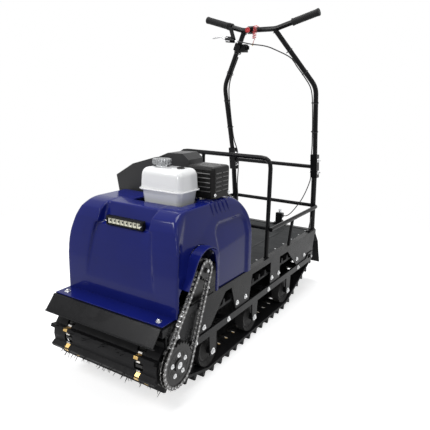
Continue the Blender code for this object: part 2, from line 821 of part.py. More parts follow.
def make_big_sprocket(material):
    centre = (DRIVE_Y, DRIVE_Z)
    low = SPROCKET_X - SPROCKET_WIDTH / 2
    high = SPROCKET_X + SPROCKET_WIDTH / 2
    phase = JACKSHAFT_TILT + math.pi
    disc = prism(sprocket_outline(centre, BIG_TEETH, BIG_PITCH_RADIUS, phase), "x", low, high)
    join(disc, cylinder("x", centre, 0.020, high - 0.001, high + 0.004, 20))
    return finish(disc, "big_sprocket", material, (SPROCKET_X, *centre))


def make_small_sprocket(material):
    """Small sprocket on the shaft that carries the driven pulley at its inner end."""
    centre = (SHAFT_Y, SHAFT_Z)
    low = SPROCKET_X - SPROCKET_WIDTH / 2
    high = SPROCKET_X + SPROCKET_WIDTH / 2
    disc = prism(sprocket_outline(centre, SMALL_TEETH, SMALL_PITCH_RADIUS, JACKSHAFT_TILT), "x", low, high)
    join(disc, cylinder("x", centre, 0.017, low - 0.0075, low + 0.001, 12))
    join(disc, bore_tool("x", centre, JACKSHAFT_RADIUS, PULLEY_LOW - 0.012, high + 0.006))
    return finish(disc, "small_sprocket", material, (SPROCKET_X, *centre))


def make_shaft_bracket(material):
    """Plate that stands on the frame beam and holds the jackshaft bearing."""
    foot = FRAME_TOP + SEAT_GAP
    low = BEAM_INNER + 0.0035
    high = low + PLATE
    head = circle_points((SHAFT_Y, SHAFT_Z), 0.034, 9, math.radians(-5), math.radians(190))
    outline = [(SHAFT_Y - 0.052, foot), (SHAFT_Y + 0.075, foot), *head]
    plate = prism(outline, "x", low, high)
    join(plate, block((low + 0.001, SHAFT_Y - 0.052, foot), (low + 0.018, SHAFT_Y + 0.075, foot + PLATE)))
    join(plate, cylinder("x", (SHAFT_Y, SHAFT_Z), 0.024, low - 0.008, high + 0.008, 16))
    cut(plate, bore_tool("x", (SHAFT_Y, SHAFT_Z), JACKSHAFT_RADIUS + RUNNING_GAP, low - 0.02, high + 0.02))
    return finish(plate, "shaft_bracket", material)


def guard_line(radius):
    """The guard's curve at a radius: an arc over the small sprocket, then a straight tail."""
    line = circle_points((SHAFT_Y, SHAFT_Z), radius, 10, GUARD_FIRST, GUARD_LAST - GUARD_FIRST)
    heading = GUARD_LAST + math.pi / 2
    line.append((line[-1][0] + math.cos(heading) * GUARD_TAIL, line[-1][1] + math.sin(heading) * GUARD_TAIL))
    return line


def make_chain_guard(material):
    """Curved strip over the top of the chain, standing out from the hood's side."""
    low = FLANGE_HALF - HOOD_WALL
    high = SPROCKET_X + CHAIN_INNER_HALF + CHAIN_PLATE + 0.008
    outline = guard_line(GUARD_RADIUS + GUARD_SHEET) + guard_line(GUARD_RADIUS)[::-1]
    guard = prism(outline, "x", low, high)
    return finish(guard, "chain_guard", material)


# Frame, deck and deflector


def make_main_frame(material):
    """Two side beams that step down at the front, and the cross-members between them."""
    front_low = FRONT_TOP - BEAM
    side = [(FRAME_FRONT, front_low), (FRAME_FRONT, FRONT_TOP), (0.0056, FRONT_TOP), (0.014, FRAME_TOP)]
    side += [(FRAME_REAR, FRAME_TOP), (FRAME_REAR, BEAM_LOW), (0.052, BEAM_LOW), (0.030, front_low)]
    frame = prism(side, "x", BEAM_INNER, FRAME_HALF)
    reach = BEAM_INNER + 0.001
    join(frame, block((-reach, FRAME_FRONT, front_low), (reach, FRAME_FRONT + BEAM, FRONT_TOP)))
    join(frame, prism(side, "x", -FRAME_HALF, -BEAM_INNER))
    for cross_y in CROSS_MEMBERS:
        join(frame, block((-reach, cross_y, BEAM_LOW + 0.001), (reach, cross_y + BEAM, MEMBER_TOP)))
    join(frame, block((-reach, FRAME_REAR - BEAM, BEAM_LOW + 0.001), (reach, FRAME_REAR, FRAME_TOP - 0.0005)))
    return finish(frame, "main_frame", material)


def make_deck(grey):
    low = MEMBER_TOP + SEAT_GAP
    half = BEAM_INNER - SEAT_GAP
    rear = FRAME_REAR - BEAM - SEAT_GAP
    sheet = block((-half, DECK_FRONT, low), (half, rear, low + DECK_SHEET))
    return finish(sheet, "deck_sheet", grey)


def make_deflector(material):
    low = FRONT_TOP + SEAT_GAP
    high = low + DEFLECTOR_SHEET
    bend_y = FRAME_FRONT - 0.001
    outer = [(-0.004, high), (bend_y, high), (DEFLECTOR_LOW_Y, DEFLECTOR_LOW_Z)]
    outer.append((DEFLECTOR_LOW_Y + 0.012, DEFLECTOR_LOW_Z - 0.007))
    inner = [
        (DEFLECTOR_LOW_Y + 0.013, DEFLECTOR_LOW_Z - 0.004),
        (DEFLECTOR_LOW_Y + 0.0042, DEFLECTOR_LOW_Z + 0.0010),
        (bend_y + 0.0008, low),
        (-0.004, low),
    ]
    plate = prism(outer + inner, "x", -FLANGE_HALF, FLANGE_HALF)
    return finish(plate, "front_deflector", material)


def make_mudflap(material):
    """Rubber flap that hangs from the rear cross-member and curves away behind the track."""
    line = [(0.0, FRAME_TOP - 0.001), (0.0, BEAM_LOW + 0.002), (0.046, 0.236), (0.068, 0.171)]
    line.append((FLAP_REACH - FLAP_SHEET, FLAP_LOW))
    front = [(REAR_FACE + y, z) for y, z in line]
    back = [(REAR_FACE + y + FLAP_SHEET, z + 0.0015) for y, z in line[1:]]
    back.insert(0, (REAR_FACE + FLAP_SHEET, FRAME_TOP - 0.001))
    flap = prism(front + back[::-1], "x", -FRAME_HALF, FRAME_HALF)
    return finish(flap, "mudflap", material)


# Hood


def hood_profile(inset):
    """Side outline of the hood, moved inwards by inset, from the front foot over the top to the rear foot."""
    foot = HOOD_BASE - 0.10
    top = HOOD_TOP
    front = [
        (0.000, foot),
        (0.000, HOOD_BASE),
        (0.002, top - 0.190),
        (0.010, top - 0.115),
        (0.024, top - 0.055),
        (0.040, top - 0.024),
        (0.068, top - 0.007),
        (0.110, top),
        (0.300, top),
    ]
    rear = circle_points((HOOD_REAR - 0.117, top - 0.118), 0.118, 6, math.radians(80), math.radians(-80))
    outline = front + rear + [(HOOD_REAR + 0.002, top - 0.20), (HOOD_REAR + 0.003, foot)]
    if not inset:
        return outline
    shrunk = []
    for index, (y, z) in enumerate(outline):
        before = Vector(outline[index - 1])
        after = Vector(outline[(index + 1) % len(outline)])
        if index == 0:
            before = Vector((y, z - 1))
        if index == len(outline) - 1:
            after = Vector((y, z - 1))
        along = (after - before).normalized()
        shrunk.append((y + along.y * inset, z - along.x * inset))
    return shrunk


def hood_width(item, inset):
    """Narrows the front and the top, as the moulding does."""
    for vertex in item.data.vertices:
        y, z = vertex.co.y, vertex.co.z
        back = min(max(y / 0.12, 0.0), 1.0)
        half = HOOD_HALF_FRONT + (HOOD_HALF_REAR - HOOD_HALF_FRONT) * back * back * (3 - 2 * back)
        high = min(max((z - HOOD_TOP + 0.170) / 0.160, 0.0), 1.0)
        half -= HOOD_NARROWING * high * high
        vertex.co.x *= (half - inset) / (HOOD_HALF_REAR - inset)
    return item


def hood_body(inset):
    half = HOOD_HALF_REAR - inset
    body = prism(hood_profile(inset), "x", -half, half)
    soften(body, HOOD_ROUND - inset, 4, 60)
    tighten_corners(body, inset)
    return hood_width(body, inset)


def profile_y(z, inset, rear):
    """Where the hood's front or rear face is at a height."""
    points = hood_profile(inset)
    points = points[9:][::-1] if rear else points[:9]
    for low, high in zip(points, points[1:]):
        if z <= high[1]:
            share = (z - low[1]) / (high[1] - low[1])
            return low[0] + (high[0] - low[0]) * share
    return points[-1][0]


def tighten_corners(body, inset):
    """Makes the upright corners of the hood sharper towards its foot."""
    half = HOOD_HALF_REAR - inset
    wide = HOOD_ROUND - inset
    for vertex in body.data.vertices:
        point = vertex.co
        share = min(max((point.z - HOOD_ROUND_LOW) / (HOOD_ROUND_HIGH - HOOD_ROUND_LOW), 0.0), 1.0)
        tight = HOOD_FOOT_ROUND + (HOOD_ROUND - HOOD_FOOT_ROUND) * share - inset
        rear = point.y > 0.2
        face = profile_y(point.z, inset, rear)
        depth = abs(point.y - face)
        if share >= 1.0 or depth > wide * 1.02 or abs(point.x) < half - wide * 1.02:
            continue
        across = abs(point.x) - (half - wide)
        side = 1 if point.x > 0 else -1
        point.x = side * (half - tight + across * tight / wide)
        point.y = face + (-1 if rear else 1) * depth * tight / wide


def front_recess(inset):
    """Space in front of the middle panel and over the lamp's ledge, between the two fender ridges."""
    out = -0.30
    ledge = HOOD_TOP - 0.070
    panel = [
        (out, ledge - 0.165 - inset),
        (0.004 + inset, ledge - 0.165 - inset),
        (0.009 + inset, ledge - 0.100),
        (0.020 + inset, ledge - inset),
        (0.020 + inset, ledge + 0.004 - inset),
        (out, ledge + 0.004 - inset),
    ]
    pocket = [
        (out, ledge - inset),
        (0.050 + inset, ledge - inset),
        (0.058 + inset, ledge + 0.022 - inset),
        (0.078 + inset, ledge + 0.066 - inset),
        (0.150 + inset, HOOD_TOP + 0.001 - inset),
        (0.150 + inset, 0.90),
        (out, 0.90),
    ]
    half = HOOD_PANEL_HALF + inset
    recess = prism(panel, "x", -half, half)
    half = HOOD_POCKET_HALF + inset
    return join(recess, prism(pocket, "x", -half, half))


def make_hood(material):
    shell = hood_body(0.0)
    cut(shell, front_recess(0.0))
    inside = hood_body(HOOD_WALL)
    cut(inside, front_recess(HOOD_WALL))
    cut(shell, inside)
    cut(shell, block((-0.5, -0.5, 0.0), (0.5, 0.0055, HOOD_BASE)))
    cut(shell, block((-0.5, 0.0050, 0.0), (0.5, 0.8, HOOD_FOOT)))
    flange = block((-FLANGE_HALF, -HOOD_FLANGE, HOOD_BASE), (FLANGE_HALF, 0.003, HOOD_BASE + 0.004))
    join(shell, flange)
    top = [(-0.260, 0.245), (-0.045, 0.245), (-0.045, 0.128), (0.154, 0.128), (0.154, 0.262)]
    top += [(0.098, 0.262), (0.098, 0.420), (-0.260, 0.420)]
    cut(shell, prism(top, "z", HOOD_TOP - 0.042, HOOD_TOP + 0.05))
    line = guard_line(GUARD_RADIUS + GUARD_SHEET + SEAT_GAP)
    arch = [(0.010, HOOD_BASE - 0.05), (0.010, line[-1][1] - 0.020), *reversed(line)]
    arch += [(line[0][0] + 0.026, line[0][1] - 0.022), (0.222, SHAFT_Z - 0.010), (0.222, HOOD_BASE - 0.05)]
    cut(shell, prism(arch, "x", HOOD_HALF_REAR - 0.040, 0.30))
    rear = ((-0.180, 0.345), (0.180, 0.345), (0.180, 0.500), (-0.180, 0.500))
    cut(shell, prism(rear, "y", HOOD_REAR - 0.030, HOOD_REAR + 0.05))
    return finish(shell, "hood", material)


def make_headlight(black, lens):
    """Light bar on the ledge: a housing with a shallow pocket, and the lens in it."""
    foot = HOOD_TOP - 0.070 + SEAT_GAP
    left, right = LIGHT_X
    housing = block((left, 0.026, foot), (right, 0.046, foot + LIGHT_HEIGHT))
    soften(housing, 0.003, 1)
    low, high = foot + 0.005, foot + LIGHT_HEIGHT - 0.005
    edge = 0.008
    cut(housing, block((left + edge, 0.010, low), (right - edge, 0.032, high)))
    finish(housing, "headlight_housing", black)
    edge += SEAT_GAP
    glass = block((left + edge, 0.0285, low + SEAT_GAP), (right - edge, 0.032 - SEAT_GAP, high - SEAT_GAP))
    return finish(glass, "headlight_lens", lens)


# Engine


def make_engine_plate(material):
    low = MEMBER_TOP + SEAT_GAP
    half = BEAM_INNER - 0.002
    front, rear = CROSS_MEMBERS[0] - 0.002, CROSS_MEMBERS[1] + BEAM - 0.002
    plate = block((-half, front, low), (half, rear, low + ENGINE_PLATE))
    return finish(plate, "engine_plate", material)


def make_engine(material):
    """Crankcase, finned cylinder, carburettor with its duct, and the bracket under the tank, in one body."""
    case = block((-0.085, CRANK_Y - 0.085, ENGINE_BASE), (0.085, CRANK_Y + 0.085, CASE_TOP))
    soften(case, 0.016, 2)
    join(case, block((-0.095, CRANK_Y - 0.095, ENGINE_BASE), (0.095, CRANK_Y + 0.095, ENGINE_BASE + 0.012)))
    low = CASE_TOP - 0.004
    high = AIR_LOW - 0.010
    middle_y = CRANK_Y + 0.030
    join(case, block((-0.042, middle_y - 0.038, low), (0.042, middle_y + 0.038, high)))
    fins = []
    for index in range(4):
        height = CASE_TOP + 0.008 + index * 0.013
        fins.append(block((-0.046, middle_y - 0.050, height), (0.046, middle_y + 0.050, height + 0.005)))
    join(case, loose(*fins))
    body_y = middle_y - 0.004
    body = block((-0.084, body_y - 0.020, CASE_TOP + 0.022), (-0.038, body_y + 0.020, CASE_TOP + 0.057))
    duct = cylinder("z", (-0.072, body_y), 0.015, CASE_TOP + 0.040, AIR_LOW - SEAT_GAP, 12)
    bowl = cylinder("z", (-0.071, body_y), 0.013, CASE_TOP - 0.004, CASE_TOP + 0.024, 12)
    join(case, body, duct, bowl)
    sheet = 0.003
    tank_foot = TANK_LOW - SEAT_GAP
    front = TANK_BRACKET_Y
    for left in (0.002, 0.060):
        join(case, block((left, front, low), (left + sheet, front + 0.030, tank_foot - 0.001)))
    join(case, block((-0.002, front - 0.002, tank_foot - sheet), (0.067, front + 0.032, tank_foot)))
    return finish(case, "engine", material, (0, CRANK_Y, CRANK_Z))


def make_fan_housing(material):
    centre = (CRANK_Y, CRANK_Z + 0.010)
    high = -0.0855
    radius = FAN_RADIUS
    profile = [(0, high), (radius - 0.012, high), (radius, high - 0.010), (radius, high - 0.045)]
    profile += [(radius - 0.016, high - 0.060), (0.060, high - 0.075), (0, high - 0.075)]
    housing = turned(profile, "x", centre, 20)
    return finish(housing, "fan_housing", material)


def make_recoil_handle(material):
    """Pull handle of the starter, on the rear of the fan housing."""
    turn = math.radians(30)
    y = CRANK_Y + FAN_RADIUS * math.cos(turn) + 0.004
    z = CRANK_Z + 0.010 + FAN_RADIUS * math.sin(turn)
    x = -0.115
    handle = block((x - 0.018, y, z - 0.007), (x + 0.018, y + 0.014, z + 0.007))
    soften(handle, 0.004, 2)
    neck = cylinder("y", (x, z), 0.006, y - 0.012, y + 0.002, 10)
    join(handle, neck)
    cut(handle, fan_disc(FAN_RADIUS + SEAT_GAP))
    return finish(handle, "recoil_handle", material, (x, y, z))


def fan_disc(radius):
    profile = [(0, -0.200), (radius, -0.200), (radius, -0.050), (0, -0.050)]
    return turned(profile, "x", (CRANK_Y, CRANK_Z + 0.010), 20)


def make_tank(material):
    """Two pressed halves with a rim between them, a filler neck and a level gauge."""
    low = (TANK_X[0], TANK_Y[0], TANK_SEAM)
    high = (TANK_X[1], TANK_Y[1], TANK_TOP)
    upper = soften(block((low[0], low[1], TANK_SEAM - 0.03), high), 0.024, 3)
    cut(upper, block((-0.3, 0.0, TANK_SEAM - 0.05), (0.3, 0.6, TANK_SEAM)))
    inset = 0.005
    bottom = (low[0] + inset, low[1] + inset, TANK_LOW)
    lower = soften(block(bottom, (high[0] - inset, high[1] - inset, TANK_SEAM + 0.02)), 0.018, 2)
    cut(lower, block((-0.3, 0.0, TANK_SEAM), (0.3, 0.6, TANK_SEAM + 0.05)))
    rim = 0.005
    rim_low = (low[0] - rim, low[1] - rim, TANK_SEAM - 0.002)
    seam = block(rim_low, (high[0] + rim, high[1] + rim, TANK_SEAM + 0.002))
    soften(seam, 0.022, 2, 80)
    join(upper, seam, lower)
    neck = cylinder("z", CAP_PLACE, 0.017, TANK_TOP - 0.004, TANK_TOP + 0.006, 16)
    gauge = cylinder("z", GAUGE_PLACE, 0.011, TANK_TOP - 0.004, TANK_TOP + 0.003, 14)
    join(upper, neck, gauge)
    return finish(upper, "fuel_tank", material)


def make_tank_cap(material):
    low = TANK_TOP + 0.006 + SEAT_GAP
    profile = [(0, low), (CAP_RADIUS - 0.0015, low), (CAP_RADIUS, low + 0.003)]
    high = low + CAP_HEIGHT
    profile += [(CAP_RADIUS, high - 0.004), (CAP_RADIUS - 0.004, high), (0, high)]
    cap = turned(profile, "z", CAP_PLACE, 20)
    return finish(cap, "tank_cap", material, (*CAP_PLACE, low))


def make_air_cleaner(material):
    """Cover in two steps, with a boss for its knob on the right side."""
    left = [(-0.228, AIR_LOW), (-0.244, 0.655), (-0.162, 0.704), (-0.060, 0.735), (-0.060, AIR_LOW)]
    housing = prism(left, "y", 0.262, 0.395)
    right = [(-0.080, AIR_LOW), (-0.080, 0.729), (-0.030, 0.750), (0.035, 0.752)]
    right += [(0.060, 0.732), (0.060, 0.660), (0.024, AIR_LOW)]
    join(housing, prism(right, "y", 0.300, 0.392))
    soften(housing, 0.004, 1)
    join(housing, cylinder("x", KNOB_PLACE, 0.011, KNOB_BASE, KNOB_BASE + 0.030, 12))
    return finish(housing, "air_cleaner", material)


def make_air_cleaner_knob(material):
    x = KNOB_BASE - SEAT_GAP
    profile = [(0, x), (0.007, x), (0.007, x - 0.004), (0.011, x - 0.005), (0.011, x - 0.013), (0, x - 0.014)]
    knob = turned(profile, "x", KNOB_PLACE, 10)
    return finish(knob, "air_cleaner_knob", material, (x, *KNOB_PLACE))


def make_muffler(material):
    """Silencer box with its pipe from the cylinder."""
    gap = MUFFLER_SHEET + 0.006
    top = MUFFLER_Z[1] - MUFFLER_SHEET - SEAT_GAP
    low = (MUFFLER_X[0] + 0.004, MUFFLER_Y[0] + gap, MUFFLER_Z[0] + 0.008)
    body = soften(block(low, (MUFFLER_X[1] - gap, MUFFLER_Y[1] - gap, top)), 0.012, 2)
    y = CRANK_Y + 0.040
    height = CASE_TOP + 0.036
    bend = MUFFLER_Z[0] + 0.030
    path = [(0.046 + SEAT_GAP, y, height), (0.072, y, height), (0.072, y, bend), (0.110, y, bend)]
    join(body, pipe(fillet(path, 0.02, 3), 0.011, 8))
    return finish(body, "muffler", material)


def make_muffler_guard(material):
    """Sheet cover with louvres, open below and towards the tank."""
    sheet = MUFFLER_SHEET
    low = Vector((MUFFLER_X[0], MUFFLER_Y[0], MUFFLER_Z[0]))
    high = Vector((MUFFLER_X[1], MUFFLER_Y[1], MUFFLER_Z[1]))
    shell = soften(block(low - Vector((0.04, 0, 0.04)), high), 0.010, 2)
    inside_low = (low.x - 0.08, low.y + sheet, low.z - 0.08)
    inside_high = (high.x - sheet, high.y - sheet, high.z - sheet)
    cut(shell, soften(block(inside_low, inside_high), 0.008, 2))
    cut(shell, block((-0.5, 0.0, 0.0), (low.x, 1.0, 1.0)))
    cut(shell, block((-0.5, 0.0, 0.0), (0.5, 1.0, low.z)))
    slots = []
    for index in range(5):
        slot_z = low.z + 0.020 + index * 0.0150
        for start, end in ((low.y + 0.016, low.y + 0.048), (low.y + 0.060, high.y - 0.016)):
            slots.append(block((high.x - 0.01, start, slot_z), (high.x + 0.01, end, slot_z + 0.006)))
    cut(shell, loose(*slots))
    return finish(shell, "muffler_guard", material)


def sheave(radius, hub, low, high, centre, bore):
    """Belt pulley with sloping cheeks either side of a groove."""
    middle = (low + high) / 2
    floor_half = 0.004
    profile = [
        (bore, low),
        (hub, low),
        (radius, middle - 0.014),
        (radius, middle - 0.011),
        (hub + 0.006, middle - floor_half),
        (hub + 0.006, middle + floor_half),
        (radius, middle + 0.011),
        (radius, middle + 0.014),
        (hub, high),
        (bore, high),
    ]
    return turned(profile, "x", centre, 16)


def make_variator(steel, rubber):
    low, high = PULLEY_LOW, PULLEY_HIGH
    crank = sheave(0.050, 0.016, low, high, (CRANK_Y, CRANK_Z), 0.0)
    crank_stub = cylinder("x", (CRANK_Y, CRANK_Z), 0.010, 0.085 + SEAT_GAP, low + 0.001, 12)
    join(crank, crank_stub)
    finish(crank, "drive_pulley", steel, (low, CRANK_Y, CRANK_Z))
    driven = sheave(0.052, 0.016, low, high, (SHAFT_Y, SHAFT_Z), JACKSHAFT_RADIUS + SEAT_GAP)
    finish(driven, "driven_pulley", steel, (low, SHAFT_Y, SHAFT_Z))
    middle = (low + high) / 2
    circles = [(SHAFT_Y, SHAFT_Z, 0.046), (CRANK_Y, CRANK_Z, 0.030)]
    outer_loop = Loop(circles)
    inner_loop = Loop([(y, z, radius - 0.0065) for y, z, radius in circles])
    steps = 40
    outer = [tuple(outer_loop.at(outer_loop.length * index / steps)[0]) for index in range(steps)]
    inner = [tuple(inner_loop.at(inner_loop.length * index / steps)[0]) for index in range(steps)]
    belt = prism(outer, "x", middle - 0.0038, middle + 0.0038)
    cut(belt, prism(inner, "x", middle - 0.02, middle + 0.02))
    return finish(belt, "drive_belt", rubber)


# Guard tubes, uprights and handlebar


def make_front_hoop(material):
    """Hoop in front of the load space, with a low bar and one post between them."""
    foot = FRAME_TOP + SEAT_GAP
    half = HOOP_HALF
    path = [(half, HOOP_Y, foot), (half, HOOP_Y, HOOP_TOP), (-half, HOOP_Y, HOOP_TOP), (-half, HOOP_Y, foot)]
    hoop = pipe(fillet(path, 0.04), GUARD_TUBE)
    join(hoop, pipe([(-half, HOOP_Y, RAIL_Z), (half, HOOP_Y, RAIL_Z)], GUARD_TUBE * 0.8, 8))
    join(hoop, pipe([(HOOP_POST_X, HOOP_Y, RAIL_Z), (HOOP_POST_X, HOOP_Y, HOOP_TOP)], GUARD_TUBE * 0.8, 8))
    return finish(hoop, "front_hoop", material)


def upright_at(side, height):
    """A point at a height on the centre line of a lower upright."""
    share = (height - FRAME_TOP) / (UPRIGHT_HEAD_Z - FRAME_TOP)
    half = UPRIGHT_FOOT_HALF + (UPRIGHT_HALF - UPRIGHT_FOOT_HALF) * share
    return Vector((side * half, UPRIGHT_FOOT_Y + (UPRIGHT_HEAD_Y - UPRIGHT_FOOT_Y) * share, height))


def make_uprights(material):
    foot = FRAME_TOP + SEAT_GAP
    for side, name in ((1, "upright_left"), (-1, "upright_right")):
        upright = pipe([upright_at(side, foot - 0.02), upright_at(side, UPRIGHT_HEAD_Z)], UPRIGHT_TUBE, 12)
        x = side * UPRIGHT_FOOT_HALF
        cut(upright, block((x - 0.03, UPRIGHT_FOOT_Y - 0.05, 0.0), (x + 0.03, UPRIGHT_FOOT_Y + 0.05, foot)))
        gusset = [(UPRIGHT_FOOT_Y - 0.052, foot), (UPRIGHT_FOOT_Y, foot), (upright_at(side, 0.40).y, 0.40)]
        join(upright, prism(gusset, "x", x - 0.003, x + 0.003))
        low = (x - 0.012, UPRIGHT_FOOT_Y - 0.056, foot)
        join(upright, block(low, (x + 0.012, FRAME_REAR - 0.0005, foot + 0.004)))
        finish(upright, name, material)


def make_rear_bar(material):
    """Bar between the uprights, level with the clamps."""
    reach = UPRIGHT_HALF - CLAMP_HALF - SEAT_GAP
    height = UPRIGHT_HEAD_Z - 0.004
    middle = upright_at(1, height).y
    bar = pipe([(-reach, middle, height), (reach, middle, height)], GUARD_TUBE)
    return finish(bar, "rear_bar", material)


def make_side_rail(material):
    """Low rail round the load space: it passes outside the hoop and notches round the uprights."""
    half = RAIL_HALF
    front = HOOP_Y - GUARD_TUBE
    path = [(half, front, RAIL_Z), (half, RAIL_REAR, RAIL_Z)]
    path += [(-half, RAIL_REAR, RAIL_Z), (-half, front, RAIL_Z)]
    rail = pipe(fillet(path, 0.035, 5), GUARD_TUBE)
    foot = FRAME_TOP + SEAT_GAP
    for side in (-1, 1):
        post_foot = (side * (FRAME_HALF - 0.008), POST_Y, foot)
        post = pipe([post_foot, (side * half, POST_Y, RAIL_Z)], GUARD_TUBE * 0.8)
        cut(post, block((-0.3, POST_Y - 0.05, 0.0), (0.3, POST_Y + 0.05, foot)))
        join(rail, post)
        upright = [upright_at(side, RAIL_Z - 0.03), upright_at(side, RAIL_Z + 0.03)]
        cut(rail, sleeve(upright, UPRIGHT_TUBE, 12))
    return finish(rail, "side_rail", material)


def make_clamps(material):
    """Channels that hold the handlebar tubes to the uprights."""
    for side, name in ((1, "clamp_left"), (-1, "clamp_right")):
        x = side * UPRIGHT_HALF
        low = UPRIGHT_HEAD_Z - CLAMP_HEIGHT / 2
        high = UPRIGHT_HEAD_Z + CLAMP_HEIGHT / 2
        size = CLAMP_HALF
        lean = -0.18
        outline = []
        for y_shift, height in ((-size, low), (size, low), (size, high), (-size, high)):
            outline.append((UPRIGHT_HEAD_Y + y_shift + lean * (height - UPRIGHT_HEAD_Z), height))
        channel = prism(outline, "x", x - size, x + size)
        upright = [upright_at(side, low - 0.02), upright_at(side, UPRIGHT_HEAD_Z + SEAT_GAP)]
        foot, bend = handle_foot(side), handle_bend(side)
        direction = (bend - foot).normalized()
        handle = [foot - direction * 0.003, foot + direction * CLAMP_HEIGHT]
        cut(channel, sleeve(upright, UPRIGHT_TUBE), sleeve(handle, HANDLE_TUBE))
        finish(channel, name, material)


def handle_foot(side):
    return Vector((side * UPRIGHT_HALF, UPRIGHT_HEAD_Y, UPRIGHT_HEAD_Z + HANDLE_FOOT_GAP))


def handle_bend(side):
    return Vector((side * HANDLE_BEND_HALF, HANDLE_BEND_Y, HANDLE_BEND_Z))


def make_handlebar(material):
    bars = []
    for side in (1, -1):
        top = Vector((side * HANDLE_TOP_HALF, HANDLE_TOP_Y, HANDLE_TOP_Z))
        bars.append(pipe(fillet([handle_foot(side), handle_bend(side), top], 0.10, 5), HANDLE_TUBE))
    end = BAR_END_HALF - GRIP_LENGTH * 0.03
    rise = HANDLE_TOP_Z + BAR_END_RISE - 0.001
    across = [
        (-end, HANDLE_TOP_Y, rise),
        (-HANDLE_FLAT, HANDLE_TOP_Y, HANDLE_TOP_Z),
        (HANDLE_FLAT, HANDLE_TOP_Y, HANDLE_TOP_Z),
        (end, HANDLE_TOP_Y, rise),
    ]
    bars.append(pipe(fillet(across, 0.10, 4), HANDLE_TUBE))
    return finish(join(*bars), "handlebar", material)


def bar_point(share, side):
    """A point on the outer part of the handlebar: 0 at its bend, 1 at its end."""
    start = Vector((side * HANDLE_FLAT, HANDLE_TOP_Y, HANDLE_TOP_Z))
    end = Vector((side * BAR_END_HALF, HANDLE_TOP_Y, HANDLE_TOP_Z + BAR_END_RISE))
    return start.lerp(end, share)


def make_grips(material):
    length = (bar_point(1, 1) - bar_point(0, 1)).length
    for side, name in ((1, "grip_left"), (-1, "grip_right")):
        end = bar_point(1 + 0.004 / length, side)
        start = bar_point(1 - GRIP_LENGTH / length, side)
        grip = pipe([start, end], GRIP_RADIUS, 16)
        bore = sleeve([bar_point(0.1, side), bar_point(1 - 0.001 / length, side)], HANDLE_TUBE)
        cut(grip, bore)
        finish(grip, name, material)


# Tow hitch and controls


def make_hitch(black, chrome):
    """Hitch block on the rear cross-member, with a drawbar slot and a pull pin."""
    middle_y = FRAME_REAR - 0.012
    front, rear = middle_y - 0.012, middle_y + 0.011
    low = FRAME_TOP - 0.0005 + SEAT_GAP
    high = low + HITCH_HEIGHT
    body = block((HITCH_X - 0.032, front, low), (HITCH_X + 0.032, rear, low + 0.005))
    join(body, block((HITCH_X - HITCH_HALF, front, low), (HITCH_X + HITCH_HALF, rear, high)))
    slot = low + 0.022
    slot_low = (HITCH_X - 0.05, middle_y - 0.006, slot)
    cut(body, block(slot_low, (HITCH_X + 0.05, rear + 0.05, slot + HITCH_SLOT)))
    pin_y = middle_y + 0.002
    cut(body, bore_tool("z", (HITCH_X, pin_y), PIN_RADIUS + RUNNING_GAP, slot - 0.004, high + 0.02, 12))
    finish(body, "tow_hitch", black)
    foot = slot - 0.0035
    top = high + SEAT_GAP
    profile = [(0, foot), (PIN_RADIUS, foot), (PIN_RADIUS, top), (0.011, top), (0.011, top + 0.003)]
    profile += [(0.007, top + 0.005), (0.007, top + 0.010), (0.010, top + 0.013)]
    profile += [(0.010, top + 0.017), (0, top + 0.019)]
    pin = turned(profile, "z", (HITCH_X, pin_y), 12)
    return finish(pin, "hitch_pin", chrome, (HITCH_X, pin_y, top))


def bar_ring(x, width, radius):
    """A ring round the handlebar at x, made from the bar's own slope there."""
    side = -1 if x < 0 else 1
    if abs(x) < HANDLE_FLAT:
        before = Vector((x - width / 2, HANDLE_TOP_Y, HANDLE_TOP_Z))
        after = Vector((x + width / 2, HANDLE_TOP_Y, HANDLE_TOP_Z))
    else:
        share = (abs(x) - HANDLE_FLAT) / (BAR_END_HALF - HANDLE_FLAT)
        middle = bar_point(share, side)
        along = (bar_point(1, side) - bar_point(0, side)).normalized()
        before = middle - along * (width / 2)
        after = middle + along * (width / 2)
    along = (after - before).normalized()
    ring = pipe([before, after], radius, 12)
    bore = sleeve([before - along * 0.02, after + along * 0.02], HANDLE_TUBE)
    return ring, bore


def make_hand_lever(black, metal):
    """Bar clamp with the lever's pivot ears, and the lever below the bar."""
    ring, bore = bar_ring(LEVER_X, 0.020, 0.0165)
    centre = Vector(LEVER_PIVOT)
    axis = Vector(LEVER_AXIS).normalized()
    out = Vector((-1, 0, 0))
    out = (out - axis * out.dot(axis)).normalized()
    down = axis.cross(out)
    if down.z > 0:
        down = -down
    stem_top = Vector((LEVER_X + 0.008, HANDLE_TOP_Y - 0.010, centre.z + 0.046))
    across = (stem_top - centre).normalized().cross(axis)
    join(ring, slab(stem_top, centre - out * 0.030, across, axis, 0.010, 0.012))
    for side in (-1, 1):
        middle = centre + axis * side * 0.0068
        join(ring, slab(middle - out * 0.034, middle + out * 0.009, down, axis, 0.009, 0.0025))
    cut(ring, bore)
    pivot_hole = pipe([centre - axis * 0.03, centre + axis * 0.03], LEVER_PIN + RUNNING_GAP, 10)
    cut(ring, pivot_hole)
    finish(ring, "lever_mount", black)
    route = [centre - out * 0.012, centre + out * 0.010]
    blade = [centre + out * along + down * drop for along, drop in LEVER_BLADE]
    lever = slab(route[0], route[1], down, axis, 0.008, 0.0038)
    join(lever, pipe([centre - axis * 0.0085, centre + axis * 0.0085], LEVER_PIN, 10))
    join(lever, pipe(smooth_route(blade, 9), 0.0036, 8))
    finish(lever, "hand_lever", metal, tuple(centre))


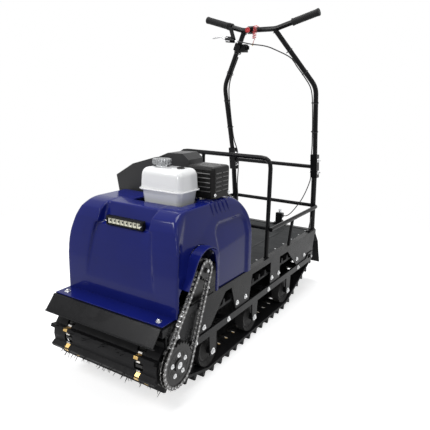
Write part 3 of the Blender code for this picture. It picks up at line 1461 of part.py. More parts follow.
def slab(start, end, side, normal, half_width, half_depth):
    """A flat bar between two points, half_width to each side and half_depth along the normal."""
    start, end = Vector(start), Vector(end)
    side = Vector(side).normalized()
    normal = Vector(normal).normalized()
    shape = bmesh.new()
    rings = []
    for point in (start, end):
        ring = []
        for across, deep in ((-1, -1), (1, -1), (1, 1), (-1, 1)):
            ring.append(shape.verts.new(point + side * across * half_width + normal * deep * half_depth))
        rings.append(ring)
    shape.faces.new(rings[0])
    shape.faces.new(rings[1])
    for index in range(4):
        after = (index + 1) % 4
        shape.faces.new((rings[0][index], rings[0][after], rings[1][after], rings[1][index]))
    return from_bmesh("slab", shape)


def make_kill_switch(black, red):
    """Housing round the bar with a push button on its front."""
    ring, bore = bar_ring(SWITCH_X, 0.024, 0.0165)
    y, z = HANDLE_TOP_Y, HANDLE_TOP_Z - 0.003
    face = y - 0.028
    box = block((SWITCH_X - 0.011, face, z - 0.012), (SWITCH_X + 0.011, y - 0.008, z + 0.012))
    join(ring, soften(box, 0.003, 1))
    cut(ring, bore)
    hole = 0.0075
    floor = face + 0.0125
    cut(ring, bore_tool("y", (SWITCH_X, z), hole + RUNNING_GAP, face - 0.02, floor, 12))
    finish(ring, "kill_switch", black)
    inner, outer = floor - BUTTON_TRAVEL - SEAT_GAP, face - 0.005
    profile = [(0, inner), (hole, inner), (hole, outer + 0.0015), (hole - 0.0015, outer), (0, outer)]
    button = turned(profile, "y", (SWITCH_X, z), 12)
    finish(button, "kill_button", red, (SWITCH_X, inner, z))


def make_ignition_switch(black):
    """Box on the inner side of the right-hand tube, with a turning knob at its end."""
    start, end = handle_line(-1)
    share = (IGNITION_Z - end.z) / (start.z - end.z)
    point = end.lerp(start, share)
    along = (start - end).normalized()
    across = along.cross(Vector((0, 1, 0)))
    body = slab(point - along * 0.019, point + along * 0.019, (0, 1, 0), across, 0.015, 0.015)
    face = point.x + 0.044
    box_low = (point.x + 0.008, point.y - 0.013, point.z - 0.019)
    join(body, block(box_low, (face, point.y + 0.013, point.z + 0.015)))
    cut(body, sleeve([point - along * 0.05, point + along * 0.05], HANDLE_TUBE))
    finish(body, "ignition_switch", black)
    low = face + SEAT_GAP
    profile = [(0, low), (0.010, low), (0.010, low + 0.004), (0.0085, low + 0.005), (0, low + 0.005)]
    knob = turned(profile, "x", (point.y, point.z), 14)
    bar_low = (low + 0.003, point.y - 0.002, point.z - 0.008)
    join(knob, block(bar_low, (low + 0.012, point.y + 0.002, point.z + 0.008)))
    finish(knob, "ignition_knob", black, (low, point.y, point.z))


def cord(route, radius, name, material, roundness):
    """A round cord along a path, as a curve with filled caps."""
    curve = bpy.data.curves.new(name, "CURVE")
    curve.dimensions = "3D"
    curve.resolution_u = 1
    curve.render_resolution_u = 0
    curve.bevel_depth = radius
    curve.bevel_resolution = roundness
    curve.use_fill_caps = True
    spline = curve.splines.new("POLY")
    spline.points.add(len(route) - 1)
    for point, target in zip(spline.points, route):
        point.co = (*target, 1.0)
    item = bpy.data.objects.new(name, curve)
    bpy.context.scene.collection.objects.link(item)
    item.data.materials.append(material)
    return item


def make_lanyard(material):
    """Curly safety cord: hooked over the bar, curled in front of it, with a straight end."""
    top = Vector(LANYARD_TOP)
    fall = Vector(LANYARD_FOOT) - top
    down = fall.normalized()
    back = Vector((0, 1, 0))
    first = (back - down * back.dot(down)).normalized()
    second = down.cross(first)
    count = CURL_TURNS * CURL_POINTS
    hook = HANDLE_TUBE + CURL_WIRE + 2 * SEAT_GAP
    route = []
    for degrees in (78, 102, 126):
        turn = math.radians(degrees)
        y = HANDLE_TOP_Y + hook * math.cos(turn)
        route.append(Vector((top.x, y, HANDLE_TOP_Z + hook * math.sin(turn))))
    for step in range(count + 1):
        angle = 2 * math.pi * step / CURL_POINTS
        centre = top + fall * (step / count)
        route.append(centre + (first * math.cos(angle) + second * math.sin(angle)) * CURL_RADIUS)
    route += [Vector(point) for point in LANYARD_TAIL]
    least = 1.0
    for index, point in enumerate(route):
        for other in route[index + 5:]:
            least = min(least, (other - point).length)
    print(f"lanyard: least gap to itself {(least - 2 * CURL_WIRE) * 1000:.2f} mm")
    return cord(route, CURL_WIRE, "lanyard", material, 1)


def handle_line(side):
    """The two ends of the sloping upper part of a handlebar tube."""
    lower = handle_bend(side)
    upper = Vector((side * HANDLE_TOP_HALF, HANDLE_TOP_Y, HANDLE_TOP_Z))
    return lower, upper


def make_cables(material):
    """Lever cable down the left tube to the hitch, and the switch loom down the right tube to the engine."""
    reach = HANDLE_TUBE + CABLE_RADIUS + 0.0012
    lower, upper = handle_line(1)
    along = (lower - upper).normalized()
    inner = Vector((-along.z, 0, along.x)).normalized()
    if inner.x > 0:
        inner = -inner
    tube = [upper.lerp(lower, share) + inner * (reach + 0.0006) for share in (0.45, 0.60, 0.78)]
    clamp_x = UPRIGHT_HALF - CLAMP_HALF - CABLE_RADIUS - 0.0012
    behind = upright_at(1, UPRIGHT_HEAD_Z).y + GUARD_TUBE + CABLE_RADIUS + 0.0035
    hitch_y = FRAME_REAR - 0.013
    hitch_x = HITCH_X + HITCH_HALF + SEAT_GAP
    hitch_z = FRAME_TOP + HITCH_HEIGHT - 0.014
    bend, foot = handle_bend(1), handle_foot(1)
    beside = Vector((-reach, 0.0, 0.0))
    route = [
        Vector(LEVER_CABLE_START),
        Vector((-0.060, 0.894, 1.182)),
        Vector((-0.022, 0.885, 1.174)),
        Vector((0.047, 0.888, 1.164)),
        Vector((0.090, 0.905, 1.148)),
        *tube,
        bend + beside * 1.5 + Vector((0.0, 0.002, -0.012)),
        bend.lerp(foot, 0.3) + beside,
        bend.lerp(foot, 0.7) + beside,
        Vector((clamp_x, behind - 0.016, UPRIGHT_HEAD_Z + 0.050)),
        Vector((clamp_x, behind, UPRIGHT_HEAD_Z)),
        Vector((clamp_x - 0.001, behind + 0.003, UPRIGHT_HEAD_Z - 0.050)),
        Vector((0.194, 1.134, 0.539)),
        Vector((0.165, 1.138, 0.468)),
        Vector((0.128, 1.144, 0.411)),
        Vector((0.099, 1.151, 0.376)),
        Vector((hitch_x + 0.016, hitch_y, hitch_z + 0.001)),
        Vector((hitch_x + 0.009, hitch_y, hitch_z)),
        Vector((hitch_x + 0.005, hitch_y, hitch_z)),
        Vector((hitch_x, hitch_y, hitch_z)),
    ]
    cord(smooth_route(route, CABLE_POINTS), CABLE_RADIUS, "lever_cable", material, 2)
    reach = HANDLE_TUBE + LOOM_RADIUS + 0.0012
    lower, upper = handle_line(-1)
    along = (lower - upper).normalized()
    inner = Vector((-along.z, 0, along.x)).normalized()
    if inner.x < 0:
        inner = -inner
    share = (upper.z - IGNITION_Z + 0.030) / (upper.z - lower.z)
    clamp_x = -UPRIGHT_HALF + CLAMP_HALF + LOOM_RADIUS + 0.0012
    behind += LOOM_RADIUS - CABLE_RADIUS
    engine_y = CRANK_Y + 0.080 + SEAT_GAP
    bend, foot = handle_bend(-1), handle_foot(-1)
    beside = Vector((reach, 0.0, 0.0))
    low_reach = Vector((UPRIGHT_TUBE + LOOM_RADIUS + 0.0015, 0.0, 0.0))
    route = [
        upper.lerp(lower, share) + inner * reach,
        upper.lerp(lower, share + 0.1) + inner * reach,
        upper.lerp(lower, 0.75) + inner * reach,
        bend + beside * 1.5 + Vector((0.0, 0.002, -0.012)),
        bend.lerp(foot, 0.3) + beside,
        bend.lerp(foot, 0.7) + beside,
        Vector((clamp_x, behind - 0.016, UPRIGHT_HEAD_Z + 0.050)),
        Vector((clamp_x, behind, UPRIGHT_HEAD_Z)),
        Vector((clamp_x + 0.001, behind + 0.002, UPRIGHT_HEAD_Z - 0.060)),
        upright_at(-1, 0.500) + low_reach,
        upright_at(-1, 0.435) + low_reach,
        Vector((-0.180, 1.100, 0.398)),
        Vector((-0.132, 1.000, 0.435)),
        Vector((-0.048, 0.800, 0.505)),
        Vector((0.032, 0.600, 0.567)),
        Vector((0.032, 0.520, 0.600)),
        Vector((0.031, 0.455, 0.613)),
        Vector((0.030, 0.419, 0.605)),
        Vector((0.030, 0.406, 0.580)),
        Vector((0.030, engine_y + 0.016, 0.551)),
        Vector((0.030, engine_y + 0.009, 0.549)),
        Vector((0.030, engine_y + 0.0045, 0.549)),
        Vector((0.030, engine_y + 0.0002, 0.549)),
    ]
    cord(smooth_route(route, CABLE_POINTS), LOOM_RADIUS, "switch_loom", material, 2)


def main():
    clear_scene()
    rubber = make_material("track_rubber", (0.012, 0.012, 0.013), 0.8)
    tyre = make_material("wheel_rubber", (0.02, 0.02, 0.021), 0.7)
    black = make_material("black_frame_paint", (0.018, 0.018, 0.019), 0.38)
    grey = make_material("deck_grey", (0.12, 0.125, 0.13), 0.55)
    steel = make_material("bright_steel", (0.55, 0.56, 0.57), 0.35, 1.0)
    dark_steel = make_material("dark_steel", (0.06, 0.06, 0.062), 0.4, 0.8)
    blue = make_material("hood_blue", (0.012, 0.018, 0.19), 0.12)
    aluminium = make_material("cast_aluminium", (0.45, 0.45, 0.46), 0.5, 0.9)
    engine_black = make_material("engine_black_plastic", (0.02, 0.02, 0.02), 0.45)
    guard_black = make_material("muffler_guard_black", (0.015, 0.015, 0.015), 0.4)
    white = make_material("tank_white", (0.85, 0.86, 0.86), 0.18)
    chrome = make_material("cap_chrome", (0.7, 0.7, 0.72), 0.15, 1.0)
    glass = make_material("headlight_glass", (0.8, 0.8, 0.75), 0.08)
    grip_rubber = make_material("grip_rubber", (0.015, 0.015, 0.015), 0.75)
    red = make_material("switch_red", (0.55, 0.01, 0.015), 0.35)
    cable_black = make_material("cable_black", (0.012, 0.012, 0.012), 0.5)
    make_track(rubber)
    make_drive_axle(dark_steel)
    make_rollers(tyre)
    make_idler(tyre)
    make_side_frames(black)
    make_cross_tubes(black)
    make_chain(dark_steel)
    make_big_sprocket(dark_steel)
    make_small_sprocket(dark_steel)
    make_shaft_bracket(dark_steel)
    make_chain_guard(blue)
    make_main_frame(black)
    make_deck(grey)
    make_deflector(black)
    make_mudflap(rubber)
    make_hood(blue)
    make_headlight(black, glass)
    make_engine_plate(black)
    make_engine(aluminium)
    make_fan_housing(engine_black)
    make_recoil_handle(engine_black)
    make_tank(white)
    make_tank_cap(chrome)
    make_air_cleaner(engine_black)
    make_air_cleaner_knob(engine_black)
    make_muffler(steel)
    make_muffler_guard(guard_black)
    make_variator(steel, rubber)
    make_front_hoop(black)
    make_uprights(black)
    make_rear_bar(black)
    make_side_rail(black)
    make_clamps(black)
    make_handlebar(black)
    make_grips(grip_rubber)
    make_hitch(black, chrome)
    make_hand_lever(black, aluminium)
    make_kill_switch(black, red)
    make_ignition_switch(black)
    make_lanyard(red)
    make_cables(cable_black)
    for item in bpy.context.scene.objects:
        item.location.y -= MIDDLE_Y


main()
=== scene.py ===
"""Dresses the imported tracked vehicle: camera, lights, materials, small hardware and moulded skins."""

import math
import random

import bmesh
import bpy
from mathutils import Matrix, Vector
from mathutils.bvhtree import BVHTree


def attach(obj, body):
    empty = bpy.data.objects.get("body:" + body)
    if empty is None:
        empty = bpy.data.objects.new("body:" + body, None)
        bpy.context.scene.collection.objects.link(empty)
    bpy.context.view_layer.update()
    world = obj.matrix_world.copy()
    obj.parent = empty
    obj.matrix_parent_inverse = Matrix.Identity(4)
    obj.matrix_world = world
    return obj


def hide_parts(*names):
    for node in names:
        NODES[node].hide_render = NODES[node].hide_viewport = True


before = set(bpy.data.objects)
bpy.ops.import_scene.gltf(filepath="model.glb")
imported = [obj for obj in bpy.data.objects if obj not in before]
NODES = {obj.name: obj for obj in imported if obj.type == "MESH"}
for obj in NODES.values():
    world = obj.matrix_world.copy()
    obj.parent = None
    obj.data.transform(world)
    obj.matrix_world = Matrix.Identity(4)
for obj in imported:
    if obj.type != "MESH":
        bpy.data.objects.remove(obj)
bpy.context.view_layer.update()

# Sizes in metres. Heights are from the floor. y counts back from the foot of the hood's front; a kept piece is
# shifted so that the frame's own y holds.
MIDDLE_Y = 0.57765
TRACK_THICKNESS = 0.010
TRACK_PITCHES = 48
CLIP_X = 0.1525
CLIP_WIDTH = 0.017
LUG_HEIGHT = 0.018
DRIVE = (-0.010, 0.155)
DRIVE_RADIUS = 0.0655
ROLLER_RADIUS = 0.062
ROLLER_X = 0.195
ROLLER_PLACES = (0.213, 0.527, 0.860)
ROLLER_Z = 0.0903
IDLER = (1.110521, 0.189)
IDLER_RADIUS = 0.050
SHAFT = (0.134534, 0.415746)
SPROCKET_X = 0.2435
CHAIN_LINKS = 58
BIG_RADIUS = 0.070893
SMALL_RADIUS = 0.030668
CHAIN_ROLLER = 0.0048
CHAIN_INNER = 0.0048
CHAIN_PLATE = 0.0026
FRAME_TOP = 0.312
DECK_TOP = 0.3093
BAR_MIDDLE = 0.173
SIDE_OUTER = 0.2305
BAR_OUTER = 0.235
HOOD_BASE = 0.2936
HOOD_FOOT = 0.3123
HOOD_TOP = 0.608
HOOD_REAR = 0.467
HOOD_HALF = (0.2335, 0.2365)
HOOD_NARROWING = 0.040
HOOD_WALL = 0.005
HOOD_ROUND = 0.055
HOOD_FOOT_ROUND = 0.018
HOOD_ROUND_HEIGHTS = (0.420, 0.560)
HOOD_PANEL_HALF = 0.138
HOOD_POCKET_HALF = 0.106
HOOD_CUT = 0.042
HOOD_OPENING = [(-0.260, 0.245), (-0.045, 0.245), (-0.045, 0.128), (0.154, 0.128), (0.154, 0.262),
                (0.098, 0.262), (0.098, 0.420), (-0.260, 0.420)]
ARCH_FRONT = 0.010
ARCH_REAR = 0.222
ARCH_DEPTH = 0.040
WINDOW_HALF = 0.180
WINDOW_HEIGHTS = (0.345, 0.500)
WINDOW_DEPTH = 0.030
FLANGE_HALF = 0.2275
FLANGE_REACH = 0.064
FLANGE_SHEET = 0.004
GUARD_RADIUS = 0.074
GUARD_SHEET = 0.004
LAMP_X = (-0.0657, 0.0717)
LAMP_CELLS = 8
TANK_X = (-0.028, 0.145)
TANK_Y = (0.136, 0.252)
TANK_Z = (0.582, 0.648, 0.719)
CAP_PLACE = (0.021, 0.202)
CAP_RADIUS = 0.033
GAUGE_PLACE = (0.106, 0.192)
MUFFLER = ((0.088, 0.258, 0.616), (0.192, 0.366, 0.722))
RECOIL = (0.300, 0.435)
RECOIL_FACE = -0.1605
BAR_Y = 0.916
BAR_Z = 1.236
BAR_FLAT = 0.080
BAR_END = 0.267
BAR_RISE = 0.054
UPRIGHT_X = 0.224
GRIP_LENGTH = 0.116
GRIP_RADIUS = 0.0155
LEVER_PIVOT = (-0.140, 0.885, 1.198)
LEVER_AXIS = (-0.162, 0.770, -0.578)
LANYARD_TOP = (-0.0035, 0.885, 1.250)
LANYARD_FOOT = (-0.0075, 0.886, 1.196)
LANYARD_TAIL = ((-0.0115, 0.889, 1.186), (-0.0165, 0.893, 1.176))
LANYARD_HOOK = 0.0130
CURL_RADIUS = 0.0078
CURL_WIRE = 0.0014
CURL_TURNS = 8

# The camera's turn, lift and roll in degrees, its lens in millimetres and its place
CAMERA_ANGLES = (31.669, 14.062, 1.269)
CAMERA_LENS = 39.614
CAMERA_PLACE = (1.007, -1.62765, 0.949)

LEFT = (1, 0, 0)
UP = (0, 0, 1)
WHITE = (1, 1, 1, 1)
PAINTS = {}


# Small shape tools


def clamp(value):
    return min(max(value, 0.0), 1.0)


def ease(value):
    """A share from 0 to 1 with soft ends."""
    share = clamp(value)
    return share * share * (3 - 2 * share)


def bevel_edges(item, width, segments, angle=40):
    edge = item.modifiers.new("edge", "BEVEL")
    edge.width = width
    edge.segments = segments
    edge.limit_method = "ANGLE"
    edge.angle_limit = math.radians(angle)
    return edge


def keep(name, shape, paint, body="chassis", replaces=(), smooth=35, bevel=0.0, segments=2):
    """Turns a bmesh or an object, made in the part's own y, into a piece that rides on a body."""
    item = loose_object(shape, name) if isinstance(shape, bmesh.types.BMesh) else shape
    item.name = name
    mesh = item.data
    mesh.transform(Matrix.Translation((0, -MIDDLE_Y, 0)))
    mesh.materials.clear()
    mesh.materials.append(PAINTS[paint])
    mesh.shade_smooth()
    if bevel:
        bevel_edges(item, bevel, segments).harden_normals = True
    mesh.set_sharp_from_angle(angle=math.radians(smooth))
    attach(item, body)
    if replaces:
        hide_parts(*replaces)
    return item


def spot(axis, along, first, second):
    places = {"x": (along, first, second), "y": (first, along, second), "z": (first, second, along)}
    return Vector(places[axis])


def bridge(shape, rings, closed=False):
    """Faces between each ring of vertices and the next, and back to the first ring where closed."""
    pairs = list(zip(rings, rings[1:]))
    if closed:
        pairs.append((rings[-1], rings[0]))
    for ring, after in pairs:
        for step in range(len(ring)):
            following = (step + 1) % len(ring)
            shape.faces.new((ring[step], ring[following], after[following], after[step]))


def add_prism(shape, outline, axis, low, high):
    """An outline of (first, second) points pulled from low to high along an axis."""
    rings = [[shape.verts.new(spot(axis, along, *point)) for point in outline] for along in (low, high)]
    shape.faces.new(rings[0])
    shape.faces.new(rings[1])
    bridge(shape, rings)
    return shape


def add_block(shape, low, high):
    corners = [(low[1], low[2]), (high[1], low[2]), (high[1], high[2]), (low[1], high[2])]
    return add_prism(shape, corners, "x", low[0], high[0])


def circle(centre, radius, sides, start=0.0, sweep=2 * math.pi):
    """Points round a centre from an angle; a full turn doesn't repeat its first point."""
    closed = abs(sweep - 2 * math.pi) < 1e-6
    turns = [start + sweep * index / sides for index in range(sides if closed else sides + 1)]
    return [(centre[0] + radius * math.cos(turn), centre[1] + radius * math.sin(turn)) for turn in turns]


def add_turned(shape, profile, start, direction, sides=24, ribs=None):
    """A closed (radius, distance) profile turned about a line; ribs is (count, depth) on its outer points."""
    axis = Vector(direction).normalized()
    side = axis.orthogonal().normalized()
    other = axis.cross(side)
    rings = []
    widest = max(radius for radius, _ in profile)
    for radius, along in profile:
        middle = Vector(start) + axis * along
        if radius < 1e-6:
            rings.append([shape.verts.new(middle)])
            continue
        ring = []
        for index in range(sides):
            turn = 2 * math.pi * index / sides
            reach = radius
            if ribs and radius > widest - 0.0012:
                reach -= ribs[1] * (0.5 - 0.5 * math.cos(turn * ribs[0]))
            across = middle + side * math.cos(turn) * reach
            ring.append(shape.verts.new(across + other * math.sin(turn) * reach))
        rings.append(ring)
    for index, ring in enumerate(rings):
        after = rings[(index + 1) % len(rings)]
        if len(ring) == 1 and len(after) == 1:
            continue
        for step in range(sides):
            following = (step + 1) % sides
            corners = [ring[step % len(ring)], ring[following % len(ring)]]
            corners += [after[following % len(after)], after[step % len(after)]]
            shape.faces.new(list(dict.fromkeys(corners)))


def add_bar(shape, start, radius, length, sides):
    """A plain round bar that runs towards the left side."""
    add_turned(shape, [(0, 0), (radius, 0), (radius, length), (0, length)], start, LEFT, sides)


def add_bolt(shape, seat, direction, size=0.0065, head=0.0045, washer=True):
    """Hexagon head on a washer, seated at a point and facing a direction."""
    axis = Vector(direction).normalized()
    if washer:
        rim = size * 1.75
        disc = [(0, 0), (rim, 0), (rim, 0.0011), (rim - 0.0004, 0.0014), (0, 0.0014)]
        add_turned(shape, disc, seat, axis, 20)
    start = Vector(seat) + axis * 0.0013
    nut = [(0, 0), (size * 1.1, 0), (size * 1.1, head * 0.8), (size * 0.92, head), (0, head)]
    add_turned(shape, nut, start, axis, 6)
    start += axis * (head - 0.0004)
    core = size * 0.52
    add_turned(shape, [(0, 0), (core, 0), (core, 0.0016), (core * 0.8, 0.0022), (0, 0.0022)], start, axis, 12)


def keep_bolts(name, bolts, body="chassis", shape=None):
    """One piece of many bolts, each given as what add_bolt takes."""
    shape = shape or bmesh.new()
    for bolt in bolts:
        add_bolt(shape, *bolt)
    keep(name, shape, "zinc", body, smooth=30)


def add_tube(shape, path, radius, sides=8):
    """A round tube with flat ends along a path."""
    path = [Vector(point) for point in path]
    side = (path[1] - path[0]).orthogonal().normalized()
    rings = []
    for index, point in enumerate(path):
        before = path[max(index - 1, 0)]
        after = path[min(index + 1, len(path) - 1)]
        along = (after - before).normalized()
        side = (side - along * side.dot(along)).normalized()
        other = along.cross(side)
        thick = radius(index / (len(path) - 1)) if callable(radius) else radius
        turns = [2 * math.pi * step / sides for step in range(sides)]
        rings.append([shape.verts.new(point + (side * math.cos(turn) + other * math.sin(turn)) * thick)
                      for turn in turns])
    shape.faces.new(rings[0])
    shape.faces.new(rings[-1])
    bridge(shape, rings)


def loose_object(shape, name="scratch"):
    bmesh.ops.recalc_face_normals(shape, faces=shape.faces)
    mesh = bpy.data.meshes.new(name)
    shape.to_mesh(mesh)
    shape.free()
    item = bpy.data.objects.new(name, mesh)
    bpy.context.scene.collection.objects.link(item)
    return item


def loose_block(low, high):
    return loose_object(add_block(bmesh.new(), low, high))


def settle(item):
    """Applies an object's modifiers to its mesh."""
    bpy.context.view_layer.update()
    evaluated = item.evaluated_get(bpy.context.evaluated_depsgraph_get())
    mesh = bpy.data.meshes.new_from_object(evaluated)
    item.modifiers.clear()
    item.data = mesh
    return item


def combine(item, other, operation="DIFFERENCE"):
    change = item.modifiers.new("change", "BOOLEAN")
    change.object = other
    change.operation = operation
    change.solver = "EXACT"
    settle(item)
    bpy.data.objects.remove(other)
    return item


def rounded(item, width, segments, angle=40):
    bevel_edges(item, width, segments, angle)
    return settle(item)


class Loop:
    """A tight closed path in the YZ plane, anticlockwise round (y, z, radius) circles inside it."""

    def __init__(self, circles):
        self.parts = []
        normals = []
        pairs = list(zip(circles, circles[1:] + circles[:1]))
        for ring, other in pairs:
            span = Vector((other[0] - ring[0], other[1] - ring[1]))
            heading = math.atan2(span.y, span.x)
            normals.append(heading - math.acos((ring[2] - other[2]) / span.length))
        for index, (ring, other) in enumerate(pairs):
            start = normals[index - 1]
            angle = normals[index]
            turn = (angle - start) % (2 * math.pi)
            if turn > 1.99 * math.pi:
                turn = 0.0
            self.parts.append(("arc", ring, start, turn * ring[2]))
            out = Vector((math.cos(angle), math.sin(angle)))
            begin = Vector(ring[:2]) + out * ring[2]
            end = Vector(other[:2]) + out * other[2]
            self.parts.append(("line", (begin, end), angle, (end - begin).length))
        self.length = sum(part[-1] for part in self.parts)

    def at(self, distance):
        """The (point, outward direction) at a distance along the loop."""
        distance %= self.length
        for kind, shape, angle, length in self.parts:
            if distance <= length:
                break
            distance -= length
        if kind == "arc":
            turn = angle + distance / shape[2]
            out = Vector((math.cos(turn), math.sin(turn)))
            return Vector(shape[:2]) + out * shape[2], out
        out = Vector((math.cos(angle), math.sin(angle)))
        return shape[0].lerp(shape[1], distance / length), out


# Camera first, then floor, lights and the free cord


def make_camera():
    turn, lift, roll = (math.radians(angle) for angle in CAMERA_ANGLES)
    back = Vector((math.sin(turn) * math.cos(lift), -math.cos(turn) * math.cos(lift), math.sin(lift)))
    level = Vector((math.cos(turn), math.sin(turn), 0.0))
    raised = back.cross(level)
    right = level * math.cos(roll) + raised * math.sin(roll)
    up = raised * math.cos(roll) - level * math.sin(roll)
    data = bpy.data.cameras.new("camera")
    data.sensor_width = 36.0
    data.sensor_fit = "HORIZONTAL"
    data.lens = CAMERA_LENS
    camera = bpy.data.objects.new("camera", data)
    bpy.context.scene.collection.objects.link(camera)
    columns = Matrix((right, up, back)).transposed().to_4x4()
    camera.matrix_world = Matrix.Translation(CAMERA_PLACE) @ columns
    bpy.context.scene.camera = camera


def add_node(tree, kind, values=None, operation=None):
    """A shader node with some of its inputs set to a value, or linked where the value is a socket."""
    node = tree.nodes.new("ShaderNode" + kind)
    if operation:
        node.operation = operation
    for name, value in (values or {}).items():
        if isinstance(value, bpy.types.NodeSocket):
            tree.links.new(value, node.inputs[name])
        else:
            node.inputs[name].default_value = value
    return node


def rays_to_whiten(tree):
    """One for rays that see plain white: the camera's own, and those off metal and through glass."""
    path = add_node(tree, "LightPath")
    seen = path.outputs["Is Camera Ray"]
    for kind in ("Is Glossy Ray", "Is Transmission Ray"):
        seen = add_node(tree, "Math", {0: seen, 1: path.outputs[kind]}, "MAXIMUM").outputs[0]
    return seen


def make_floor():
    """A floor that shows near white under the object, with its shadow, and plain white further out."""
    half = 14.0
    corners = ((-half, -half, 0), (half, -half, 0), (half, half, 0), (-half, half, 0))
    shape = bmesh.new()
    shape.faces.new([shape.verts.new(corner) for corner in corners])
    floor = loose_object(shape, "floor")
    floor.location.z = -0.0004
    material = bpy.data.materials.new("floor_white")
    material.use_nodes = True
    tree = material.node_tree
    tree.nodes.clear()
    diffuse = add_node(tree, "BsdfDiffuse", {"Color": (0.72, 0.72, 0.72, 1)}).outputs[0]
    glow = add_node(tree, "Emission", {"Color": WHITE, "Strength": 0.66}).outputs[0]
    white = add_node(tree, "Emission", {"Color": WHITE, "Strength": 1.0}).outputs[0]
    place = add_node(tree, "TexCoord").outputs["Object"]
    reach = add_node(tree, "VectorMath", {0: place}, "LENGTH").outputs["Value"]
    fade = add_node(tree, "MapRange", {"Value": reach, "From Min": 1.1, "From Max": 2.4}).outputs[0]
    near = add_node(tree, "AddShader", {0: diffuse, 1: glow}).outputs[0]
    lit = add_node(tree, "MixShader", {0: fade, 1: near, 2: white}).outputs[0]
    surface = add_node(tree, "MixShader", {0: rays_to_whiten(tree), 1: diffuse, 2: lit}).outputs[0]
    add_node(tree, "OutputMaterial", {"Surface": surface})
    floor.data.materials.append(material)


def make_world():
    world = bpy.data.worlds.new("studio")
    bpy.context.scene.world = world
    world.use_nodes = True
    tree = world.node_tree
    tree.nodes.clear()
    white = add_node(tree, "Background", {"Color": WHITE, "Strength": 1.0}).outputs[0]
    light = add_node(tree, "Background", {"Color": (0.93, 0.96, 1.0, 1), "Strength": 0.18}).outputs[0]
    surface = add_node(tree, "MixShader", {0: rays_to_whiten(tree), 1: light, 2: white}).outputs[0]
    add_node(tree, "OutputWorld", {"Surface": surface})


def make_light(name, place, target, size, power, tall=None):
    data = bpy.data.lights.new(name, "AREA")
    data.energy = power
    data.size = size
    if tall:
        data.shape = "RECTANGLE"
        data.size_y = tall
    lamp = bpy.data.objects.new(name, data)
    bpy.context.scene.collection.objects.link(lamp)
    lamp.location = place
    lamp.rotation_euler = (Vector(target) - Vector(place)).to_track_quat("-Z", "Y").to_euler()


def make_stage():
    make_floor()
    make_world()
    make_light("key", (-1.4, -2.6, 3.0), (0, 0, 0.4), 1.1, 54)
    make_light("side", (3.2, -0.2, 2.4), (0, 0, 0.4), 0.9, 12)
    make_light("top", (0.1, 0.2, 3.6), (0, 0, 0.3), 1.6, 76)
    make_light("front_strip", (1.2, -3.0, 1.5), (0, -0.4, 0.4), 0.08, 17, 1.6)


def lanyard_route():
    """The part's own route for the curly cord, with more points on each turn."""
    top = Vector(LANYARD_TOP)
    fall = Vector(LANYARD_FOOT) - top
    down = fall.normalized()
    back = Vector((0, 1, 0))
    first = (back - down * back.dot(down)).normalized()
    second = down.cross(first)
    hook = circle((BAR_Y, BAR_Z), LANYARD_HOOK, 6, math.radians(78), math.radians(48))
    route = [Vector((top.x, *point)) for point in hook]
    steps = 16
    count = CURL_TURNS * steps
    for step in range(count + 1):
        angle = 2 * math.pi * step / steps
        centre = top + fall * (step / count)
        route.append(centre + (first * math.cos(angle) + second * math.sin(angle)) * CURL_RADIUS)
    return route + [Vector(point) for point in LANYARD_TAIL]


def make_lanyard():
    route = [point - Vector((0, MIDDLE_Y, 0)) for point in lanyard_route()]
    curve = bpy.data.curves.new("red_lanyard", "CURVE")
    curve.dimensions = "3D"
    curve.bevel_depth = CURL_WIRE
    curve.bevel_resolution = 3
    curve.use_fill_caps = True
    spline = curve.splines.new("POLY")
    spline.points.add(len(route) - 1)
    for point, target in zip(spline.points, route):
        point.co = (*target, 1.0)
    cord = bpy.data.objects.new("red_lanyard", curve)
    bpy.context.scene.collection.objects.link(cord)
    curve.materials.append(PAINTS["red"])
    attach(cord, "chassis")
    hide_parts("lanyard")
    shape = bmesh.new()
    start, end = (Vector(point) for point in LANYARD_TAIL)
    fitting = [(0, -0.002), (0.0026, -0.002), (0.003, 0.001), (0.003, 0.007), (0.002, 0.009), (0, 0.009)]
    add_turned(shape, fitting, end, end - start, 14)
    clip = keep("lanyard_clip", shape, "gold")


# Materials


def paint(name, colour, other, roughness, patch, grain=0.0, grain_size=600.0, metallic=0.0, swing=0.08, coat=0.0,
          specular=0.5, stretch=(1, 1, 1)):
    """A surface with broad colour variation, uneven roughness and fine relief, all from noise."""
    material = bpy.data.materials.new(name)
    material.use_nodes = True
    tree = material.node_tree
    shader = tree.nodes["Principled BSDF"]
    shader.inputs["Metallic"].default_value = metallic
    shader.inputs["Specular IOR Level"].default_value = specular
    if coat:
        shader.inputs["Coat Weight"].default_value = coat
        shader.inputs["Coat Roughness"].default_value = 0.035
    place = add_node(tree, "TexCoord").outputs["Object"]
    place = add_node(tree, "Mapping", {"Vector": place, "Scale": stretch}).outputs[0]
    noise = {"Vector": place, "Scale": patch, "Detail": 6.0, "Roughness": 0.6}
    broad = add_node(tree, "TexNoise", noise).outputs["Fac"]
    ramp = add_node(tree, "ValToRGB", {"Fac": broad})
    for element, shade in zip(ramp.color_ramp.elements, (colour, other)):
        element.color = (*shade, 1)
    tree.links.new(ramp.outputs["Color"], shader.inputs["Base Color"])
    uneven = {"Value": broad, "From Min": 0.35, "From Max": 0.65, "To Min": max(roughness - swing, 0.02),
              "To Max": min(roughness + swing, 1.0)}
    tree.links.new(add_node(tree, "MapRange", uneven).outputs[0], shader.inputs["Roughness"])
    if grain:
        noise = {"Vector": place, "Scale": grain_size, "Detail": 3.0}
        fine = add_node(tree, "TexNoise", noise).outputs["Fac"]
        bump = add_node(tree, "Bump", {"Height": fine, "Strength": grain, "Distance": 0.0004})
        tree.links.new(bump.outputs[0], shader.inputs["Normal"])
    return material


